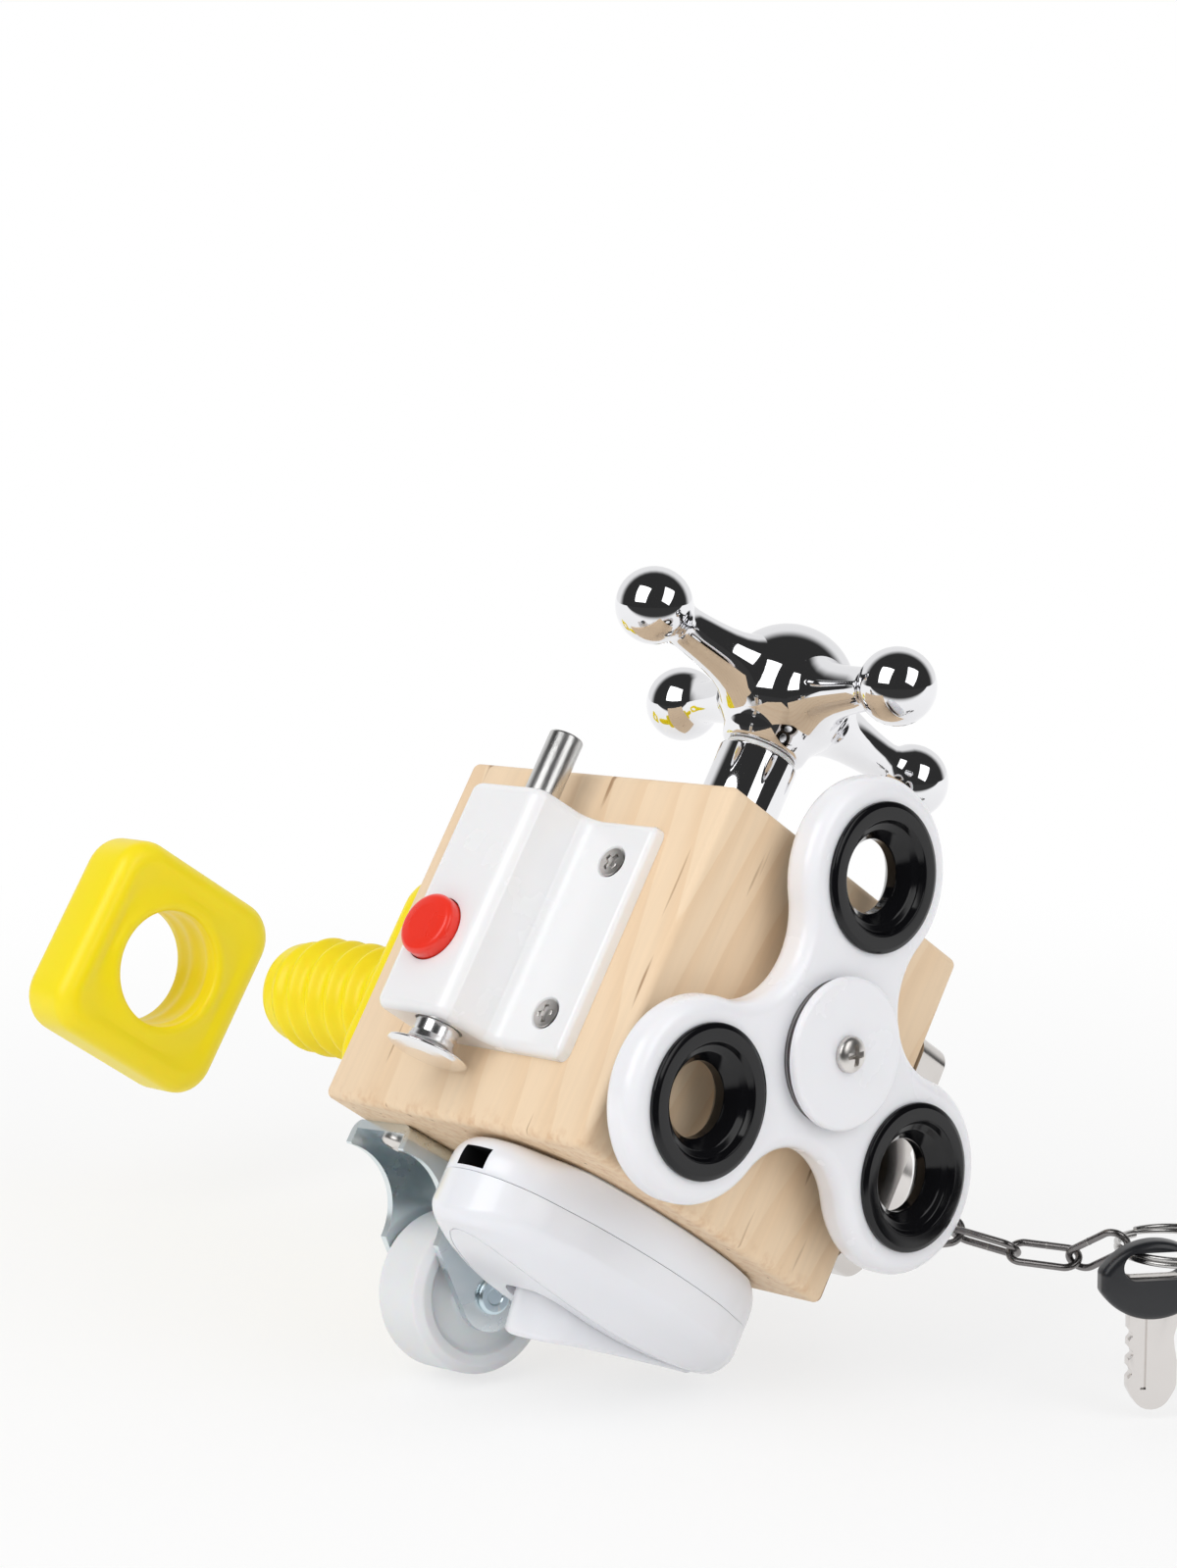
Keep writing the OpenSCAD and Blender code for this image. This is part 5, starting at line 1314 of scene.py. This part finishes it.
class BUSY_OT_stage(bpy.types.Operator):
    """Builds the floor, lamps, surround and camera"""

    bl_idname = "busy.stage"
    bl_label = "Stage"

    def execute(self, context):
        scene = context.scene
        s = scene.busy_stage
        graph = context.evaluated_depsgraph_get()
        lowest = math.inf
        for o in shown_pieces():
            e = o.evaluated_get(graph)
            for corner in e.data.vertices:
                lowest = min(lowest, PHOTO_UP.dot(e.matrix_world @ corner.co))
        mesh = bpy.data.meshes.new("floor")
        mesh.from_pydata([(x * FLOOR_REACH, y * FLOOR_REACH, 0)
                          for x, y in ((-1, -1), (1, -1), (1, 1), (-1, 1))], [], [(0, 1, 2, 3)])
        mesh.materials.append(self.floor_finish(s.floor))
        floor = linked("floor", mesh)
        floor.rotation_mode = "QUATERNION"
        floor.rotation_quaternion = PHOTO_UP.to_track_quat("Z", "Y")
        floor.location = PHOTO_UP * (lowest - FLOOR_GAP)
        floor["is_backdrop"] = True
        for name, power, place, wide in (("key lamp", s.key, (-0.34, 0.36, 0.42), 0.40),
                                         ("fill lamp", s.fill, (0.40, 0.30, 0.42), 0.30)):
            lamp = bpy.data.lights.new(name, "AREA")
            lamp.shape = "RECTANGLE"
            lamp.size, lamp.size_y, lamp.energy = wide, LAMP_TALL, power
            o = linked(name, lamp)
            o.location = (LAMP_TARGET + CAMERA_RIGHT * place[0] + CAMERA_UP * place[1]
                          + CAMERA_BACK * place[2])
            o.rotation_mode = "QUATERNION"
            o.rotation_quaternion = (LAMP_TARGET - o.location).to_track_quat("-Z", "Y")
        self.surround(scene, s.sky)
        camera = linked("camera", bpy.data.cameras.new("camera"))
        camera.data.lens = FOCAL_PIXELS / PHOTO_PIXELS * SENSOR
        camera.data.sensor_width = SENSOR
        camera.data.clip_start, camera.data.clip_end = 0.01, 50
        camera.matrix_world = axes(CAMERA_RIGHT, CAMERA_UP, CAMERA_BACK, CAMERA_AT)
        scene.camera = camera
        scene.view_settings.view_transform = "Standard"
        return {"FINISHED"}

    def floor_finish(self, colour):
        made = grouped("pale floor", surface_group(), {
            "Colour": (*colour, 1.0), "Spread": 0.004, "Scale": 6.0, "Roughness": 0.9,
            "Bump": 0.0}, {"Roughness": 0.9, "Specular IOR Level": 0.0}, SHADED[:1])
        net = Net(made.node_tree)
        # the floor keeps the shadow near the object and fades into the white beyond
        away = net.vector("LENGTH", net.add("TexCoord").outputs["Object"], out=1)
        fade = net.ramp(away, *FADE, 0.70, 1.0, "SMOOTHSTEP")
        path = net.add("LightPath").outputs
        seen = net.calc("ADD", path["Is Camera Ray"], path["Is Glossy Ray"])
        seen = net.calc("ADD", seen, path["Is Transmission Ray"], clamp=True)
        white, room = [net.add("Emission", {"Color": WHITE, "Strength": strength}).outputs[0]
                       for strength in (1.0, 0.04)]
        lit = net.blend(net.calc("MULTIPLY", seen, fade),
                        net.tree.nodes["Principled BSDF"].outputs[0], white)
        # in mirrors the floor nearer the camera is as dim as the room there
        shape = net.add("NewGeometry").outputs
        nearer = net.vector("DOT_PRODUCT", shape["Position"], CAMERA_BACK, out=1)
        dim = net.ramp(nearer, *DIM, kind="SMOOTHSTEP")
        lit = net.blend(net.calc("MULTIPLY", dim, path["Is Glossy Ray"]), lit, room)
        # from behind the floor is clear, so that it hides nothing in low rear views
        clear = net.add("BsdfTransparent").outputs[0]
        net.feed(net.tree.nodes["Material Output"].inputs["Surface"],
                 net.blend(shape["Backfacing"], lit, clear))
        return made

    def surround(self, scene, strength):
        """White backdrop behind the object, a dim room on the other side, plain light for all."""
        world = bpy.data.worlds.new("surround")
        world.use_nodes = True
        scene.world = world
        net = Net(world.node_tree)
        net.tree.nodes.clear()
        way = net.vector("DOT_PRODUCT", net.add("TexCoord").outputs["Generated"], -CAMERA_BACK,
                         out=1)
        wall = net.ramp(way, 0.22, 0.62, 0.03, 0.86, "SMOOTHSTEP")
        path = net.add("LightPath").outputs
        seen = net.calc("ADD", path["Is Glossy Ray"], path["Is Transmission Ray"], clamp=True)
        plain = net.calc("MULTIPLY", net.calc("SUBTRACT", 1.0, seen), strength)
        rest = net.calc("ADD", plain, net.calc("MULTIPLY", seen, wall))
        camera = path["Is Camera Ray"]
        rest = net.calc("MULTIPLY", rest, net.calc("SUBTRACT", 1.0, camera))
        background = net.add("Background", {"Color": WHITE,
                                            "Strength": net.calc("ADD", rest, camera)})
        net.add("OutputWorld", {"Surface": background.outputs[0]})


# ---- panel and registration
# each fitting's settings and operators, in the order of building
FITTINGS = [
    ("busy_block", BlockSettings, BUSY_OT_block),
    ("busy_tap", TapSettings, BUSY_OT_tap),
    ("busy_spinner", SpinnerSettings, BUSY_OT_spinner),
    ("busy_latch", LatchSettings, BUSY_OT_latch),
    ("busy_caster", CasterSettings, BUSY_OT_caster),
    ("busy_switch", SwitchSettings, BUSY_OT_switch),
    ("busy_bolt", BoltSettings, BUSY_OT_bolt),
    ("busy_lock", LockSettings, BUSY_OT_lock),
    ("busy_chain", ChainSettings, BUSY_OT_chain, BUSY_OT_keys, BUSY_OT_kept),
    ("busy_stage", StageSettings, BUSY_OT_stage),
]


class BUSY_PT_panel(bpy.types.Panel):
    """Lists the busy block's pieces and settings"""

    bl_label = "Busy block"
    bl_idname = "BUSY_PT_panel"
    bl_space_type = "VIEW_3D"
    bl_region_type = "UI"
    bl_category = "Busy block"

    def draw(self, context):
        for group, _, *operators in FITTINGS:
            part = self.layout.box()
            for operator in operators:
                part.operator(operator.bl_idname)
            settings = getattr(context.scene, group)
            for name in settings.bl_rna.properties.keys():
                if name not in ("rna_type", "name"):
                    part.prop(settings, name)


CLASSES = [*[kind for _, *kinds in FITTINGS for kind in kinds], BUSY_PT_panel]


def register():
    for kind in CLASSES:
        bpy.utils.register_class(kind)
    for group, settings, *_ in FITTINGS:
        setattr(bpy.types.Scene, group, PointerProperty(type=settings))


def unregister():
    for group, *_ in FITTINGS:
        delattr(bpy.types.Scene, group)
    for kind in reversed(CLASSES):
        bpy.utils.unregister_class(kind)


def main():
    register()
    for _, _, *operators in FITTINGS:
        for operator in operators:
            getattr(bpy.ops.busy, operator.bl_idname.split(".")[1])()


if __name__ == "__main__":
    main()
